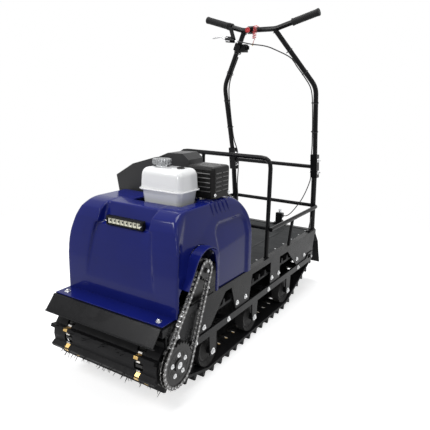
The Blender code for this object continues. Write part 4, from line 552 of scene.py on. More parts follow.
def painted_shade_below(material, height, shade_colour, width=0.004):
    """Below a height the surface takes a greyer colour: painted shade on the tank's lower half."""
    tree = material.node_tree
    shader = tree.nodes["Principled BSDF"]
    upper = shader.inputs["Base Color"].links[0].from_socket
    place = add_node(tree, "TexCoord").outputs["Object"]
    split = add_node(tree, "SeparateXYZ", {0: place})
    limits = {"Value": split.outputs["Z"], "From Min": height - width, "From Max": height}
    step = add_node(tree, "MapRange", limits)
    mix = tree.nodes.new("ShaderNodeMix")
    mix.data_type = "RGBA"
    tree.links.new(step.outputs[0], mix.inputs["Factor"])
    mix.inputs["A"].default_value = (*shade_colour, 1)
    tree.links.new(upper, mix.inputs["B"])
    tree.links.new(mix.outputs["Result"], shader.inputs["Base Color"])
    return material


def make_materials():
    """Each paint by its key: two colours, roughness and patch size, then the grain's strength and size."""
    made = PAINTS
    made["rubber"] = paint("track_rubber_moulded", (0.006, 0.006, 0.0065), (0.013, 0.013, 0.014), 0.5, 26,
                           0.5, 900, specular=0.12)
    made["tyre"] = paint("wheel_rubber_worn", (0.012, 0.012, 0.013), (0.034, 0.033, 0.032), 0.6, 30, 0.35,
                         1200, specular=0.2)
    made["black"] = paint("frame_powder_coat", (0.005, 0.005, 0.0055), (0.011, 0.011, 0.012), 0.28, 14,
                          0.12, 1500, swing=0.06, specular=0.12)
    made["deck"] = paint("deck_sheet_worn", (0.016, 0.017, 0.018), (0.034, 0.036, 0.037), 0.60, 8, 0.2, 500,
                         stretch=(1, 6, 1), specular=0.12)
    made["dark_steel"] = paint("oiled_steel", (0.016, 0.016, 0.017), (0.048, 0.047, 0.045), 0.38, 40, 0.2,
                               900, metallic=0.6, specular=0.3)
    made["chain"] = paint("chain_steel", (0.050, 0.049, 0.048), (0.26, 0.255, 0.25), 0.30, 90, 0.15, 1400,
                          metallic=0.9)
    made["steel"] = paint("bare_steel", (0.42, 0.43, 0.44), (0.6, 0.6, 0.6), 0.33, 35, 0.12, 800,
                          metallic=1.0)
    made["zinc"] = paint("zinc_bolts", (0.60, 0.61, 0.62), (0.80, 0.80, 0.80), 0.26, 120, 0.1, 1500,
                         metallic=1.0)
    made["gold"] = paint("yellow_zinc", (0.55, 0.33, 0.09), (0.80, 0.58, 0.24), 0.34, 150, 0.1, 1500,
                         metallic=0.85)
    made["silver"] = paint("white_zinc", (0.62, 0.60, 0.56), (0.86, 0.84, 0.80), 0.32, 150, 0.1, 1500,
                           metallic=0.7)
    made["blue"] = paint("hood_blue_gloss", (0.004, 0.008, 0.105), (0.008, 0.014, 0.165), 0.22, 5, 0.03,
                         160, swing=0.05, coat=0.26, specular=0.06)
    made["cast"] = paint("cast_aluminium_rough", (0.30, 0.30, 0.31), (0.46, 0.46, 0.46), 0.5, 40, 0.6, 900,
                         metallic=0.8)
    made["plastic"] = paint("engine_plastic_grained", (0.014, 0.014, 0.0145), (0.026, 0.026, 0.027), 0.42,
                            12, 0.45, 1300, specular=0.35)
    made["guard"] = paint("muffler_guard_paint", (0.006, 0.006, 0.006), (0.013, 0.0125, 0.012), 0.30, 22,
                          0.15, 1300, specular=0.12)
    # The louvre lips' lighter grey is a painted highlight that stands in for light seen through the guard's
    # slots.
    made["lip_highlight"] = paint("guard_lips_painted_highlight", (0.030, 0.030, 0.030), (0.14, 0.138, 0.135), 0.34, 60, 0.15,
                         1300, metallic=0.4)
    enamel = paint("tank_enamel", (0.88, 0.885, 0.89), (0.93, 0.93, 0.93), 0.16, 7, 0.04, 200, swing=0.04,
                   coat=0.6)
    # The tank's lower half is greyer below the seam: painted shade.
    made["white"] = painted_shade_below(enamel, TANK_Z[1] - 0.0035, (0.80, 0.81, 0.82))
    made["chrome"] = paint("cap_bright", (0.62, 0.63, 0.65), (0.82, 0.83, 0.84), 0.18, 60, 0.05, 900,
                           metallic=1.0)
    made["cap"] = paint("cap_ribbed_grey", (0.16, 0.165, 0.17), (0.42, 0.43, 0.44), 0.22, 70, 0.05, 900,
                        metallic=0.85)
    made["lamp"] = paint("lamp_cells", (0.70, 0.68, 0.52), (0.90, 0.88, 0.74), 0.25, 160, coat=0.8)
    made["grip"] = paint("grip_rubber_ribbed", (0.008, 0.008, 0.008), (0.016, 0.016, 0.017), 0.55, 50, 0.4,
                         1600, specular=0.2)
    made["red"] = paint("switch_red_plastic", (0.50, 0.008, 0.014), (0.66, 0.018, 0.024), 0.3, 70, 0.08,
                        900, coat=0.4)
    made["cable"] = paint("cable_sheath", (0.010, 0.010, 0.010), (0.020, 0.020, 0.021), 0.42, 50, 0.15,
                          1500)
    made["lever"] = paint("lever_aluminium", (0.50, 0.50, 0.51), (0.70, 0.70, 0.70), 0.32, 60, 0.15, 1100,
                          metallic=0.9)


def repaint():
    """Gives every CAD node that stays in view its procedural material."""
    sides = ("left", "right")
    wanted = {
        "rubber": ("track", "mudflap", "drive_belt"),
        "tyre": (*(f"roller_{index}_{side}" for index in (1, 2, 3) for side in sides), "rear_idler"),
        "black": (*(f"{name}_{side}" for name in ("side_frame", "upright", "clamp") for side in sides),
                  *(f"cross_tube_{index}" for index in (1, 2, 3)), "main_frame", "front_deflector",
                  "headlight_housing", "engine_plate", "front_hoop", "rear_bar", "side_rail", "handlebar",
                  "tow_hitch", "lever_mount", "kill_switch", "ignition_switch", "ignition_knob"),
        "deck": ("deck_sheet",),
        "dark_steel": ("drive_axle", "big_sprocket", "small_sprocket", "shaft_bracket", "roller_chain"),
        "steel": ("muffler", "drive_pulley", "driven_pulley"),
        "blue": ("hood", "chain_guard"),
        "cast": ("engine",),
        "lever": ("hand_lever",),
        "plastic": ("fan_housing", "recoil_handle", "air_cleaner", "air_cleaner_knob"),
        "guard": ("muffler_guard",),
        "white": ("fuel_tank",),
        "chrome": ("tank_cap", "hitch_pin"),
        "lamp": ("headlight_lens",),
        "grip": ("grip_left", "grip_right"),
        "red": ("kill_button", "lanyard"),
        "cable": ("lever_cable", "switch_loom"),
    }
    for key, names in wanted.items():
        for name in names:
            for slot in NODES[name].material_slots:
                slot.material = PAINTS[key]


# Hood


def hood_profile():
    """Side outline of the hood from the front foot over the top to the rear foot, on a smooth curve."""
    foot = HOOD_BASE - 0.02
    top = HOOD_TOP
    knots = [(0.000, foot), (0.000, HOOD_BASE), (0.002, top - 0.190), (0.010, top - 0.115),
             (0.024, top - 0.055), (0.040, top - 0.024), (0.068, top - 0.007), (0.110, top), (0.300, top)]
    knots += circle((HOOD_REAR - 0.117, top - 0.118), 0.118, 9, math.radians(80), math.radians(-80))
    knots += [(HOOD_REAR + 0.002, top - 0.20), (HOOD_REAR + 0.003, foot)]
    points = [Vector(knot) for knot in knots]
    line = [points[0]]
    for index, (start, end) in enumerate(zip(points, points[1:])):
        before = points[max(index - 1, 0)]
        after = points[min(index + 2, len(points) - 1)]
        span = (end - start).length
        limit = min(span / max((end - before).length, 1e-6), 1.0)
        pieces = max(int(span / 0.012), 1)
        for step in range(1, pieces + 1):
            share = step / pieces
            leaving = (end - before) * 0.5 * share * (1 - share) ** 2
            arriving = (after - start) * 0.5 * share ** 2 * (1 - share)
            smooth = start.lerp(end, ease(share)) + (leaving - arriving)
            line.append(start.lerp(end, share).lerp(smooth, limit * 0.8))
    return [tuple(point) for point in line]


def hood_shell():
    """The solid outer form: rounded body, tighter corners low down, narrower front and top."""
    wide = HOOD_HALF[1]
    shape = add_prism(bmesh.new(), hood_profile(), "x", -wide, wide)
    body = rounded(loose_object(shape, "hood_form"), HOOD_ROUND, 8, 60)
    tighten_corners(body)
    for vertex in body.data.vertices:
        half = HOOD_HALF[0] + (wide - HOOD_HALF[0]) * ease(vertex.co.y / 0.12)
        high = clamp((vertex.co.z - HOOD_TOP + 0.170) / 0.160)
        half -= HOOD_NARROWING * high * high
        vertex.co.x *= half / wide
    return body


def face_at(height, rear):
    """Where the hood's front or rear face is at a height."""
    points = [point for point in hood_profile() if (point[0] > 0.30) == rear and (rear or point[0] <= 0.110)]
    if rear:
        points.reverse()
    for low, high in zip(points, points[1:]):
        if low[1] <= height <= high[1] and high[1] > low[1]:
            share = (height - low[1]) / (high[1] - low[1])
            return low[0] + (high[0] - low[0]) * share
    return points[-1][0] if height > points[-1][1] else points[0][0]


def tighten_corners(body):
    """Makes the hood's upright corners sharper towards its foot."""
    half = HOOD_HALF[1]
    wide = HOOD_ROUND
    low, high = HOOD_ROUND_HEIGHTS
    for vertex in body.data.vertices:
        point = vertex.co
        share = clamp((point.z - low) / (high - low))
        tight = HOOD_FOOT_ROUND + (HOOD_ROUND - HOOD_FOOT_ROUND) * share
        rear = point.y > 0.2
        face = face_at(point.z, rear)
        depth = abs(point.y - face)
        if share >= 1.0 or depth > wide * 1.02 or abs(point.x) < half - wide * 1.02:
            continue
        across = abs(point.x) - (half - wide)
        point.x = math.copysign(half - tight + across * tight / wide, point.x)
        point.y = face + (-1 if rear else 1) * depth * tight / wide


def press_sides(body):
    """Presses a shallow panel into each side behind the arch, following the side's own curve."""
    middle, reach, corner = (0.338, 0.330), (0.104, 0.212), 0.045
    deep, edge = 0.008, 0.012
    for vertex in body.data.vertices:
        point = vertex.co
        if abs(point.x) < 0.165:
            continue
        across = abs(point.y - middle[0]) - reach[0] + corner
        up = abs(point.z - middle[1]) - reach[1] + corner
        away = min(max(across, up), 0.0) + math.hypot(max(across, 0.0), max(up, 0.0)) - corner
        point.x -= math.copysign(deep * ease(-away / edge), point.x)


def panel_cutter():
    """Recess between the two ridges at the front, and the lamp's ledge above it."""
    out = -0.30
    ledge = HOOD_TOP - 0.070
    panel = [(out, ledge - 0.190), (0.0002, ledge - 0.186), (0.009, ledge - 0.110), (0.020, ledge - 0.048),
             (0.036, ledge), (0.036, ledge + 0.004), (out, ledge + 0.004)]
    shape = add_prism(bmesh.new(), panel, "x", -HOOD_PANEL_HALF, HOOD_PANEL_HALF)
    for vertex in shape.verts:
        vertex.co.x *= 0.86 + 1.1 * max(ledge - vertex.co.z, 0.0)
    first = loose_object(shape, "panel")
    pocket = [(out, ledge), (0.050, ledge), (0.058, ledge + 0.022), (0.078, ledge + 0.066),
              (0.150, HOOD_TOP + 0.001), (0.150, 0.90), (out, 0.90)]
    shape = add_prism(bmesh.new(), pocket, "x", -HOOD_POCKET_HALF, HOOD_POCKET_HALF)
    return combine(first, loose_object(shape, "pocket"), "UNION")


def guard_line(radius, steps=28):
    """An arc over the small sprocket's shaft, with a straight tail down at its front."""
    line = circle(SHAFT, radius, steps, math.radians(50), math.radians(98))
    heading = math.radians(148) + math.pi / 2
    line.append((line[-1][0] + math.cos(heading) * 0.085, line[-1][1] + math.sin(heading) * 0.085))
    return line


def hood_cutters():
    """Top opening, arch over the chain, rear window and the foot."""
    line = guard_line(GUARD_RADIUS + GUARD_SHEET + 0.0003)
    arch = [(ARCH_FRONT, HOOD_BASE - 0.05), (ARCH_FRONT, line[-1][1] - 0.020), *reversed(line)]
    arch += [(line[0][0] + 0.026, line[0][1] - 0.022), (ARCH_REAR, SHAFT[1] - 0.010)]
    arch.append((ARCH_REAR, HOOD_BASE - 0.05))
    low, high = WINDOW_HEIGHTS
    window = ((-WINDOW_HALF, low), (WINDOW_HALF, low), (WINDOW_HALF, high), (-WINDOW_HALF, high))
    cutters = [
        add_prism(bmesh.new(), HOOD_OPENING, "z", HOOD_TOP - HOOD_CUT, HOOD_TOP + 0.05),
        add_prism(bmesh.new(), arch, "x", HOOD_HALF[1] - ARCH_DEPTH, 0.30),
        add_prism(bmesh.new(), window, "y", HOOD_REAR - WINDOW_DEPTH, HOOD_REAR + 0.05),
        add_block(bmesh.new(), (-0.5, 0.0050, 0.1), (0.5, 0.8, HOOD_FOOT)),
        add_block(bmesh.new(), (-0.5, -0.5, 0.1), (0.5, 0.0055, HOOD_BASE)),
    ]
    return [loose_object(cutter, "cutter") for cutter in cutters]


def vent_ridges(body):
    """Pressed ribs that run over the hood's shoulder on the chain side, laid on its surface."""
    tree = BVHTree.FromObject(body, bpy.context.evaluated_depsgraph_get())
    shape = bmesh.new()
    for index in range(5):
        path = []
        for step in range(17):
            share = step / 16
            turn = math.radians(96 - 84 * share)
            reach = Vector((math.cos(turn), 0, math.sin(turn)))
            start = Vector((0.146, 0.232 + index * 0.024 + 0.016 * share * share, 0.550)) + reach * 0.2
            hit = tree.ray_cast(start, -reach)
            path.append(hit[0] - hit[1] * 0.0008)
        add_tube(shape, path, lambda share: 0.0010 + 0.0038 * (1 - abs(2 * share - 1) ** 4), 12)
    return loose_object(shape, "ridges")


def make_hood():
    """Moulded hood: the solid form is blended with a fine remesh, then opened and given its wall."""
    body = hood_shell()
    combine(body, panel_cutter())
    blend = body.modifiers.new("blend", "REMESH")
    blend.mode = "VOXEL"
    blend.voxel_size = 0.0030
    smooth = body.modifiers.new("smooth", "SMOOTH")
    smooth.factor = 0.5
    smooth.iterations = 12
    thin = body.modifiers.new("thin", "DECIMATE")
    thin.ratio = 0.45
    settle(body)
    press_sides(body)
    ridges = vent_ridges(body)
    for cutter in hood_cutters():
        combine(body, cutter)
    shape = bmesh.new()
    shape.from_mesh(body.data)
    flat = [face for face in shape.faces if is_cut_face(face)]
    bmesh.ops.delete(shape, geom=flat, context="FACES")
    shape.to_mesh(body.data)
    shape.free()
    wall = body.modifiers.new("wall", "SOLIDIFY")
    wall.thickness = HOOD_WALL
    wall.offset = -1.0
    wall.use_rim = True
    settle(body)
    keep("hood_moulding", body, "blue", replaces=("hood",), smooth=55)
    low = (-FLANGE_HALF, -FLANGE_REACH, HOOD_BASE)
    high = (FLANGE_HALF, 0.006, HOOD_BASE + FLANGE_SHEET)
    keep("hood_flange", add_block(bmesh.new(), low, high), "blue", bevel=0.0016)
    keep("hood_vent_ridges", ridges, "blue", smooth=60)


def is_cut_face(face):
    """True for the flat faces that a cutter left inside the hood's solid form."""
    middle = face.calc_center_median()
    normal = face.normal
    near = 0.0005
    if normal.z < -0.99 and middle.z < HOOD_FOOT + 0.001:
        return True
    if normal.z > 0.99 and abs(middle.z - HOOD_TOP + HOOD_CUT) < near:
        return True
    if abs(middle.z - 0.60) < 0.06 and abs(normal.z) < 0.02 and middle.z > HOOD_TOP - HOOD_CUT - 0.0001:
        for x, y in HOOD_OPENING:
            if abs(middle.x - x) < 0.0004 and abs(abs(normal.x) - 1) < 0.001:
                return True
            if abs(middle.y - y) < 0.0004 and abs(abs(normal.y) - 1) < 0.001:
                return True
    if abs(middle.x - HOOD_HALF[1] + ARCH_DEPTH) < near and normal.x > 0.99:
        return True
    if middle.x > HOOD_HALF[1] - ARCH_DEPTH - 0.001 and abs(normal.x) < 0.001 and inside_arch(middle):
        return True
    if abs(middle.y - HOOD_REAR + WINDOW_DEPTH) < near and normal.y > 0.99:
        return True
    low, high = WINDOW_HEIGHTS
    in_window = low - 0.001 < middle.z < high + 0.001 and abs(middle.x) < WINDOW_HALF + near
    if in_window and middle.y > HOOD_REAR - WINDOW_DEPTH - 0.001 and abs(normal.y) < 0.001:
        return abs(abs(middle.x) - WINDOW_HALF) < 0.0004 or abs(normal.z) > 0.99
    return False


def inside_arch(point):
    """True near the arch's cut edge over the chain."""
    radius = math.hypot(point.y - SHAFT[0], point.z - SHAFT[1])
    near_arc = abs(radius - GUARD_RADIUS - GUARD_SHEET - 0.0003) < 0.0006
    straight = (abs(point.y - ARCH_FRONT) < 0.0004 and point.z < 0.37) or abs(point.y - ARCH_REAR) < 0.0004
    return near_arc or straight or (ARCH_FRONT + 0.0015 < point.y < 0.23 and point.z < SHAFT[1] + 0.06)


# Chain, sprockets and track hardware


def around(x, centre, radius, turn):
    """A point on an upright circle that faces sideways."""
    return x, centre[0] + radius * math.cos(turn), centre[1] + radius * math.sin(turn)


def link_outline(first, second, height, waist, steps=5):
    """A figure-of-eight plate between two pins."""
    along = (second - first).normalized()
    across = Vector((-along.y, along.x))
    outline = []
    for centre, way in ((second, 1), (first, -1)):
        for step in range(steps + 1):
            turn = -math.pi / 2 + math.pi * step / steps
            outline.append(centre + (along * math.cos(turn) + across * math.sin(turn)) * way * height)
        middle = (first + second) / 2
        outline.append(middle + across * way * waist)
    return [tuple(point) for point in outline]


def make_chain():
    """Plates, pin ends and rollers; a roller is left out where the chain lies on a sprocket."""
    loop = Loop([(*DRIVE, BIG_RADIUS), (*SHAFT, SMALL_RADIUS)])
    away = math.radians(61) + math.pi
    start = ((away - loop.parts[0][2]) % (2 * math.pi)) * BIG_RADIUS
    spacing = loop.length / CHAIN_LINKS
    pins = [loop.at(start + index * spacing)[0] for index in range(CHAIN_LINKS)]
    plates, barrels = bmesh.new(), bmesh.new()
    seat = 0.0082
    for index, (pin, after) in enumerate(zip(pins, pins[1:] + pins[:1])):
        outer = index % 2 == 0
        gap = CHAIN_INNER + (CHAIN_PLATE / 2 + 0.0001 if outer else 0.0)
        outline = link_outline(pin, after, 0.0068, 0.0044 if outer else 0.0050)
        for side in (-1, 1):
            low = SPROCKET_X + side * gap
            high = low + side * CHAIN_PLATE * 0.46
            add_prism(plates, outline, "x", min(low, high), max(low, high))
        for low in (-CHAIN_INNER - CHAIN_PLATE, CHAIN_INNER + 0.0002):
            add_bar(barrels, (SPROCKET_X + low, *pin), 0.0024, CHAIN_PLATE - 0.0002, 10)
        on_big = (pin - Vector(DRIVE)).length < BIG_RADIUS + seat
        on_small = (pin - Vector(SHAFT)).length < SMALL_RADIUS + seat
        if not on_big and not on_small:
            add_bar(barrels, (SPROCKET_X - CHAIN_INNER, *pin), CHAIN_ROLLER, 2 * CHAIN_INNER, 14)
    keep("chain_plates", plates, "chain", replaces=("roller_chain",), smooth=30)
    keep("chain_rollers", barrels, "steel", smooth=30)


def make_sprocket_hardware():
    """The big sprocket's bolts and pressings, and the small one's nut."""
    face = SPROCKET_X + 0.0045
    bolts = [(around(face, DRIVE, 0.034, math.radians(90 + 72 * index)), LEFT, 0.0045, 0.0032)
             for index in range(5)]
    bolts.append(((0.2520, *DRIVE), LEFT, 0.0062, 0.0032))
    keep_bolts("sprocket_bolts", bolts, "drive_line")
    shape = bmesh.new()
    low = face - 0.0001
    rim = [(0.047, 0), (0.050, 0), (0.050, 0.0007), (0.047, 0.0007)]
    add_turned(shape, rim, (low, *DRIVE), LEFT, 56)
    lip = [(0.0052, 0), (0.0066, 0), (0.0062, 0.0008), (0.0052, 0.0008)]
    for index in range(5):
        add_turned(shape, lip, around(low, DRIVE, 0.036, math.radians(54 + 72 * index)), LEFT, 20)
    keep("sprocket_pressings", shape, "dark_steel", "drive_line")
    keep_bolts("jackshaft_nut", [((0.2533, *SHAFT), LEFT, 0.0050, 0.0028, False)], "jackshaft")


def track_loop():
    middle = TRACK_THICKNESS / 2 + 0.0003
    rings = [(*DRIVE, DRIVE_RADIUS + middle)]
    rings += [(place, ROLLER_Z, ROLLER_RADIUS + middle) for place in ROLLER_PLACES]
    rings.append((*IDLER, IDLER_RADIUS + middle))
    return Loop(rings)


def add_on_track(shape, place, outline, low, high):
    """A prism from x low to high at a place of the loop; its outline is along the track and out from it."""
    point, out = place
    along = Vector((-out.y, out.x))
    half = TRACK_THICKNESS / 2
    corners = [tuple(point + along * way + out * (half + height)) for way, height in outline]
    add_prism(shape, corners, "x", low, high)


def make_track_hardware():
    """Metal clips round the bars between the windows, moulded ribs on the lugs, and thin hairs in front."""
    loop = track_loop()
    pitch = loop.length / TRACK_PITCHES
    arc = loop.parts[0]
    origin = ((math.pi - arc[2]) % (2 * math.pi)) * arc[1][2]
    silver, gold, ribs = bmesh.new(), bmesh.new(), bmesh.new()
    plate = ((-0.0034, -0.0002), (0.0034, -0.0002), (0.0028, 0.0026), (-0.0028, 0.0026))
    cap = ((-0.0104, 0.0004), (0.0104, 0.0004), (0.0049, LUG_HEIGHT + 0.0002), (-0.0049, LUG_HEIGHT + 0.0002))
    rib = ((0.0086, -0.0004), (0.0104, -0.0004), (0.0048, LUG_HEIGHT - 0.003), (0.0034, LUG_HEIGHT - 0.003))
    for index in range(TRACK_PITCHES):
        centre = origin + (index + 0.5) * pitch
        middle = loop.at(centre)
        for side in (-1, 1):
            low = side * CLIP_X - CLIP_WIDTH / 2
            for shift in (-0.0128, 0.0128):
                add_on_track(silver, loop.at(centre + shift), plate, low + 0.001, low + 0.016)
            add_on_track(gold, middle, cap, low, low + CLIP_WIDTH)
        for step in range(15):
            x = -0.196 + 0.028 * step
            if abs(abs(x) - CLIP_X) < 0.016:
                continue
            for way in (-1, 1):
                outline = [(way * across, height) for across, height in rib]
                add_on_track(ribs, middle, outline, x - 0.0022, x + 0.0022)
    keep("track_clips_silver", silver, "silver", bevel=0.0004, segments=1)
    keep("track_clips_gold", gold, "gold", bevel=0.0004, segments=1)
    keep("track_lug_ribs", ribs, "rubber", smooth=30)
    make_hairs(loop, origin, pitch)


def make_hairs(loop, origin, pitch):
    """Thin strands that the mould leaves on the lugs, shown at the track's front."""
    rng = random.Random(7)
    shape = bmesh.new()
    tip = TRACK_THICKNESS / 2 + LUG_HEIGHT
    for index in range(-1, 6):
        for _ in range(24):
            x = rng.uniform(-0.215, 0.215)
            point, out = loop.at(origin + (index + 0.5) * pitch + rng.choice((-0.0036, 0.0036)))
            along = Vector((-out.y, out.x))
            length = rng.uniform(0.008, 0.019)
            lean = rng.uniform(-0.5, 0.5)
            start = point + out * (tip - 0.001)
            end = start + (out + along * lean).normalized() * length
            if end.y < 0.003 or point.x > 0.04:
                continue
            bend = start.lerp(end, 0.5) + along * rng.uniform(-0.001, 0.001)
            sway = rng.uniform(-0.003, 0.003)
            path = [(x, *start), (x + sway * 0.4, *bend), (x + sway, *end)]
            add_tube(shape, path, lambda share: 0.0013 - 0.0007 * share, 5)
    keep("mould_hairs", shape, "rubber", smooth=60)


def make_wheel_hardware():
    """Discs in the dished sides of the rollers and the idler, and the nuts on their axles."""
    sides = ((1, "left"), (-1, "right"))
    for index, place in enumerate(ROLLER_PLACES):
        for side, word in sides:
            body = f"roller_{index + 1}_{word}"
            keep_disc(f"{body}_disc", body, (place, ROLLER_Z), ROLLER_RADIUS, side)
    for side, word in sides:
        keep_disc(f"idler_{word}_disc", "rear_idler", IDLER, IDLER_RADIUS, side)
    nuts = [((side * (SIDE_OUTER + 0.0005), place, ROLLER_Z), (side, 0, 0), 0.0068, 0.0050)
            for side in (-1, 1) for place in ROLLER_PLACES]
    keep_bolts("roller_axle_nuts", nuts)
    nuts = [((side * 0.2392, *IDLER), (side, 0, 0), 0.0062, 0.0045, False) for side in (-1, 1)]
    keep_bolts("idler_nuts", nuts, "rear_idler")


def keep_disc(name, body, centre, radius, side):
    """A pressed steel disc with spokes in the dished side of a wheel."""
    shape = bmesh.new()
    face = side * (ROLLER_X + 0.0070)
    rim = radius - 0.017
    profile = [(0.0195, 0.0), (rim, 0.0), (rim, 0.0016), (rim - 0.002, 0.0024), (0.022, 0.0024),
               (0.0195, 0.0016)]
    add_turned(shape, profile, (face, *centre), (side, 0, 0), 32)
    middle = face + side * 0.0018
    for step in range(6):
        turn = math.pi * step / 3
        ends = [around(middle, centre, reach, turn) for reach in (0.022, rim - 0.003)]
        add_tube(shape, ends, 0.0019)
    keep(name, shape, "dark_steel", body, smooth=40)


# Frame hardware


def make_frame_hardware():
    """Bolts on the side frames, the hood's flange, the clamps and the bracket."""
    plate_bolts = ((0.154, 0.205), (0.377, 0.211), (0.442, 0.212), (0.674, 0.213), (0.742, 0.213),
                   (0.947, 0.218), (1.039, 0.213))
    bar_bolts = (0.310, 0.640, 0.960, 0.100)
    bolts = []
    for side in (-1, 1):
        out = (side, 0, 0)
        bolts += [((side * (SIDE_OUTER + 0.0003), *place), out, 0.0056, 0.0045) for place in plate_bolts]
        bolts += [((side * BAR_OUTER, y, BAR_MIDDLE), out, 0.0056, 0.0045) for y in bar_bolts]
        seat = (side * (SIDE_OUTER + 0.0002), DRIVE[0] + 0.017, DRIVE[1] + 0.080)
        bolts.append((seat, out, 0.0050, 0.0040))
    keep_bolts("side_frame_bolts", bolts)
    bolts = [((x, -0.040, HOOD_BASE + FLANGE_SHEET), UP, 0.0060, 0.0046) for x in (-0.196, 0.196)]
    keep_bolts("hood_flange_bolts", bolts)
    shape = bmesh.new()
    bolts = []
    for side in (-1, 1):
        x = side * UPRIGHT_X
        for height in (0.606, 0.665):
            y = 1.118 - 0.18 * (height - 0.636)
            bolts += [((x + way * 0.016, y, height), (way, 0, 0), 0.0058, 0.0050) for way in (-1, 1)]
            add_tube(shape, [(x + 0.016, y, height), (x + 0.0285, y, height)], 0.0028, 10)
    keep_bolts("clamp_bolts", bolts, shape=shape)
    bolts = [((0.217, SHAFT[0] + shift, 0.330), LEFT, 0.0050, 0.0036) for shift in (-0.040, 0.060)]
    for turn in (45, 135, 225, 315):
        bolts.append((around(0.225, SHAFT, 0.0165, math.radians(turn)), LEFT, 0.0028, 0.002, False))
    keep_bolts("bracket_bolts", bolts)
    make_welds()
    make_deck_detail()


def weld_ring(shape, centre, axis, radius, rng, thick=0.0022):
    """A rippled bead round a tube's foot."""
    axis = Vector(axis).normalized()
    side = axis.orthogonal().normalized()
    other = axis.cross(side)
    count = 36
    path = []
    for step in range(count + 1):
        turn = 2 * math.pi * step / count
        wobble = radius + 0.0005 * math.sin(turn * 18) + rng.uniform(-0.0002, 0.0002)
        path.append(Vector(centre) + (side * math.cos(turn) + other * math.sin(turn)) * wobble)
    add_tube(shape, path, thick, 6)


def make_welds():
    rng = random.Random(3)
    shape = bmesh.new()
    foot = FRAME_TOP + 0.0012
    for side in (-1, 1):
        weld_ring(shape, (side * 0.2195, 0.634, foot), UP, 0.0098, rng)
        weld_ring(shape, (side * 0.2190, 1.1568, foot + 0.0038), UP, 0.0133, rng)
        weld_ring(shape, (side * 0.2195, 0.634, 0.434), (0, 1, 0), 0.0100, rng, 0.0014)
        corner = (side * 0.077, BAR_Y + 0.004, BAR_Z - 0.010)
        weld_ring(shape, corner, (side * 0.5, 0.4, -0.8), 0.0118, rng, 0.0018)
    for height in (0.4415, 0.7105):
        weld_ring(shape, (-0.0955, 0.634, height), UP, 0.0080, rng, 0.0016)
    keep("weld_beads", shape, "black", smooth=60)


def make_deck_detail():
    """Rivets along the deck's edges, two pressed stiffening lines, and the front deflector's hem."""
    shape = bmesh.new()
    rivet = [(0, 0), (0.0042, 0), (0.0036, 0.0011), (0.0018, 0.0017), (0, 0.0018)]
    for side in (-1, 1):
        for step in range(8):
            add_turned(shape, rivet, (side * 0.198, 0.500 + step * 0.089, DECK_TOP), UP, 14)
    keep("deck_rivets", shape, "steel", smooth=40)
    shape = bmesh.new()
    low, high = DECK_TOP - 0.0001, DECK_TOP + 0.0016
    for x in (-0.105, 0.105):
        ridge = [(x - 0.008, low), (x - 0.004, high), (x + 0.004, high), (x + 0.008, low)]
        add_prism(shape, ridge, "y", 0.530, 1.100)
    keep("deck_pressings", shape, "deck", smooth=60)
    hem = [(-0.1125, 0.2470), (-0.1095, 0.2462), (-0.1085, 0.2500), (-0.1115, 0.2508)]
    keep("deflector_hem", add_prism(bmesh.new(), hem, "x", -FLANGE_HALF, FLANGE_HALF), "black", bevel=0.0008)


# Lamp, tank, cap, guard and engine


def make_lamp():
    """Row of bright cells in a dark finned bar."""
    low_x, high_x = LAMP_X
    front, back = 0.0286, 0.0318
    z0, z1 = 0.5450, 0.5618
    width = (high_x - low_x) / LAMP_CELLS
    shape = bmesh.new()
    for column in range(LAMP_CELLS):
        x0 = low_x + column * width + 0.0012
        x1 = x0 + width - 0.0024
        rim = [Vector((x, front + 0.0006, z)) for x, z in ((x0, z0), (x1, z0), (x1, z1), (x0, z1))]
        middle = Vector(((x0 + x1) / 2, back, (z0 + z1) / 2))
        outer = [shape.verts.new(point) for point in rim]
        inner = [shape.verts.new(middle.lerp(point, 0.35) + Vector((0, 0.0012, 0))) for point in rim]
        deep = [shape.verts.new((point.x, back + 0.0008, point.z)) for point in rim]
        bridge(shape, [inner, outer, deep])
        shape.faces.new(inner)
        shape.faces.new(deep)
    keep("lamp_cells", shape, "lamp", replaces=("headlight_lens",), smooth=20)
    shape = bmesh.new()
    for column in range(LAMP_CELLS + 1):
        x = low_x + column * width
        add_block(shape, (x - 0.0010, front - 0.0002, z0 - 0.0012), (x + 0.0010, back, z1 + 0.0010))
    for step in range(13):
        x = -0.070 + step * 0.0121
        add_block(shape, (x - 0.0012, 0.0290, 0.5680), (x + 0.0012, 0.0450, 0.5692))
    keep("lamp_fins", shape, "black", bevel=0.0003, segments=1)
    screws = [((x, 0.0262, 0.5533), (0, -1, 0), 0.0022, 0.0016, False) for x in (-0.0700, 0.0760)]
    keep_bolts("lamp_screws", screws)


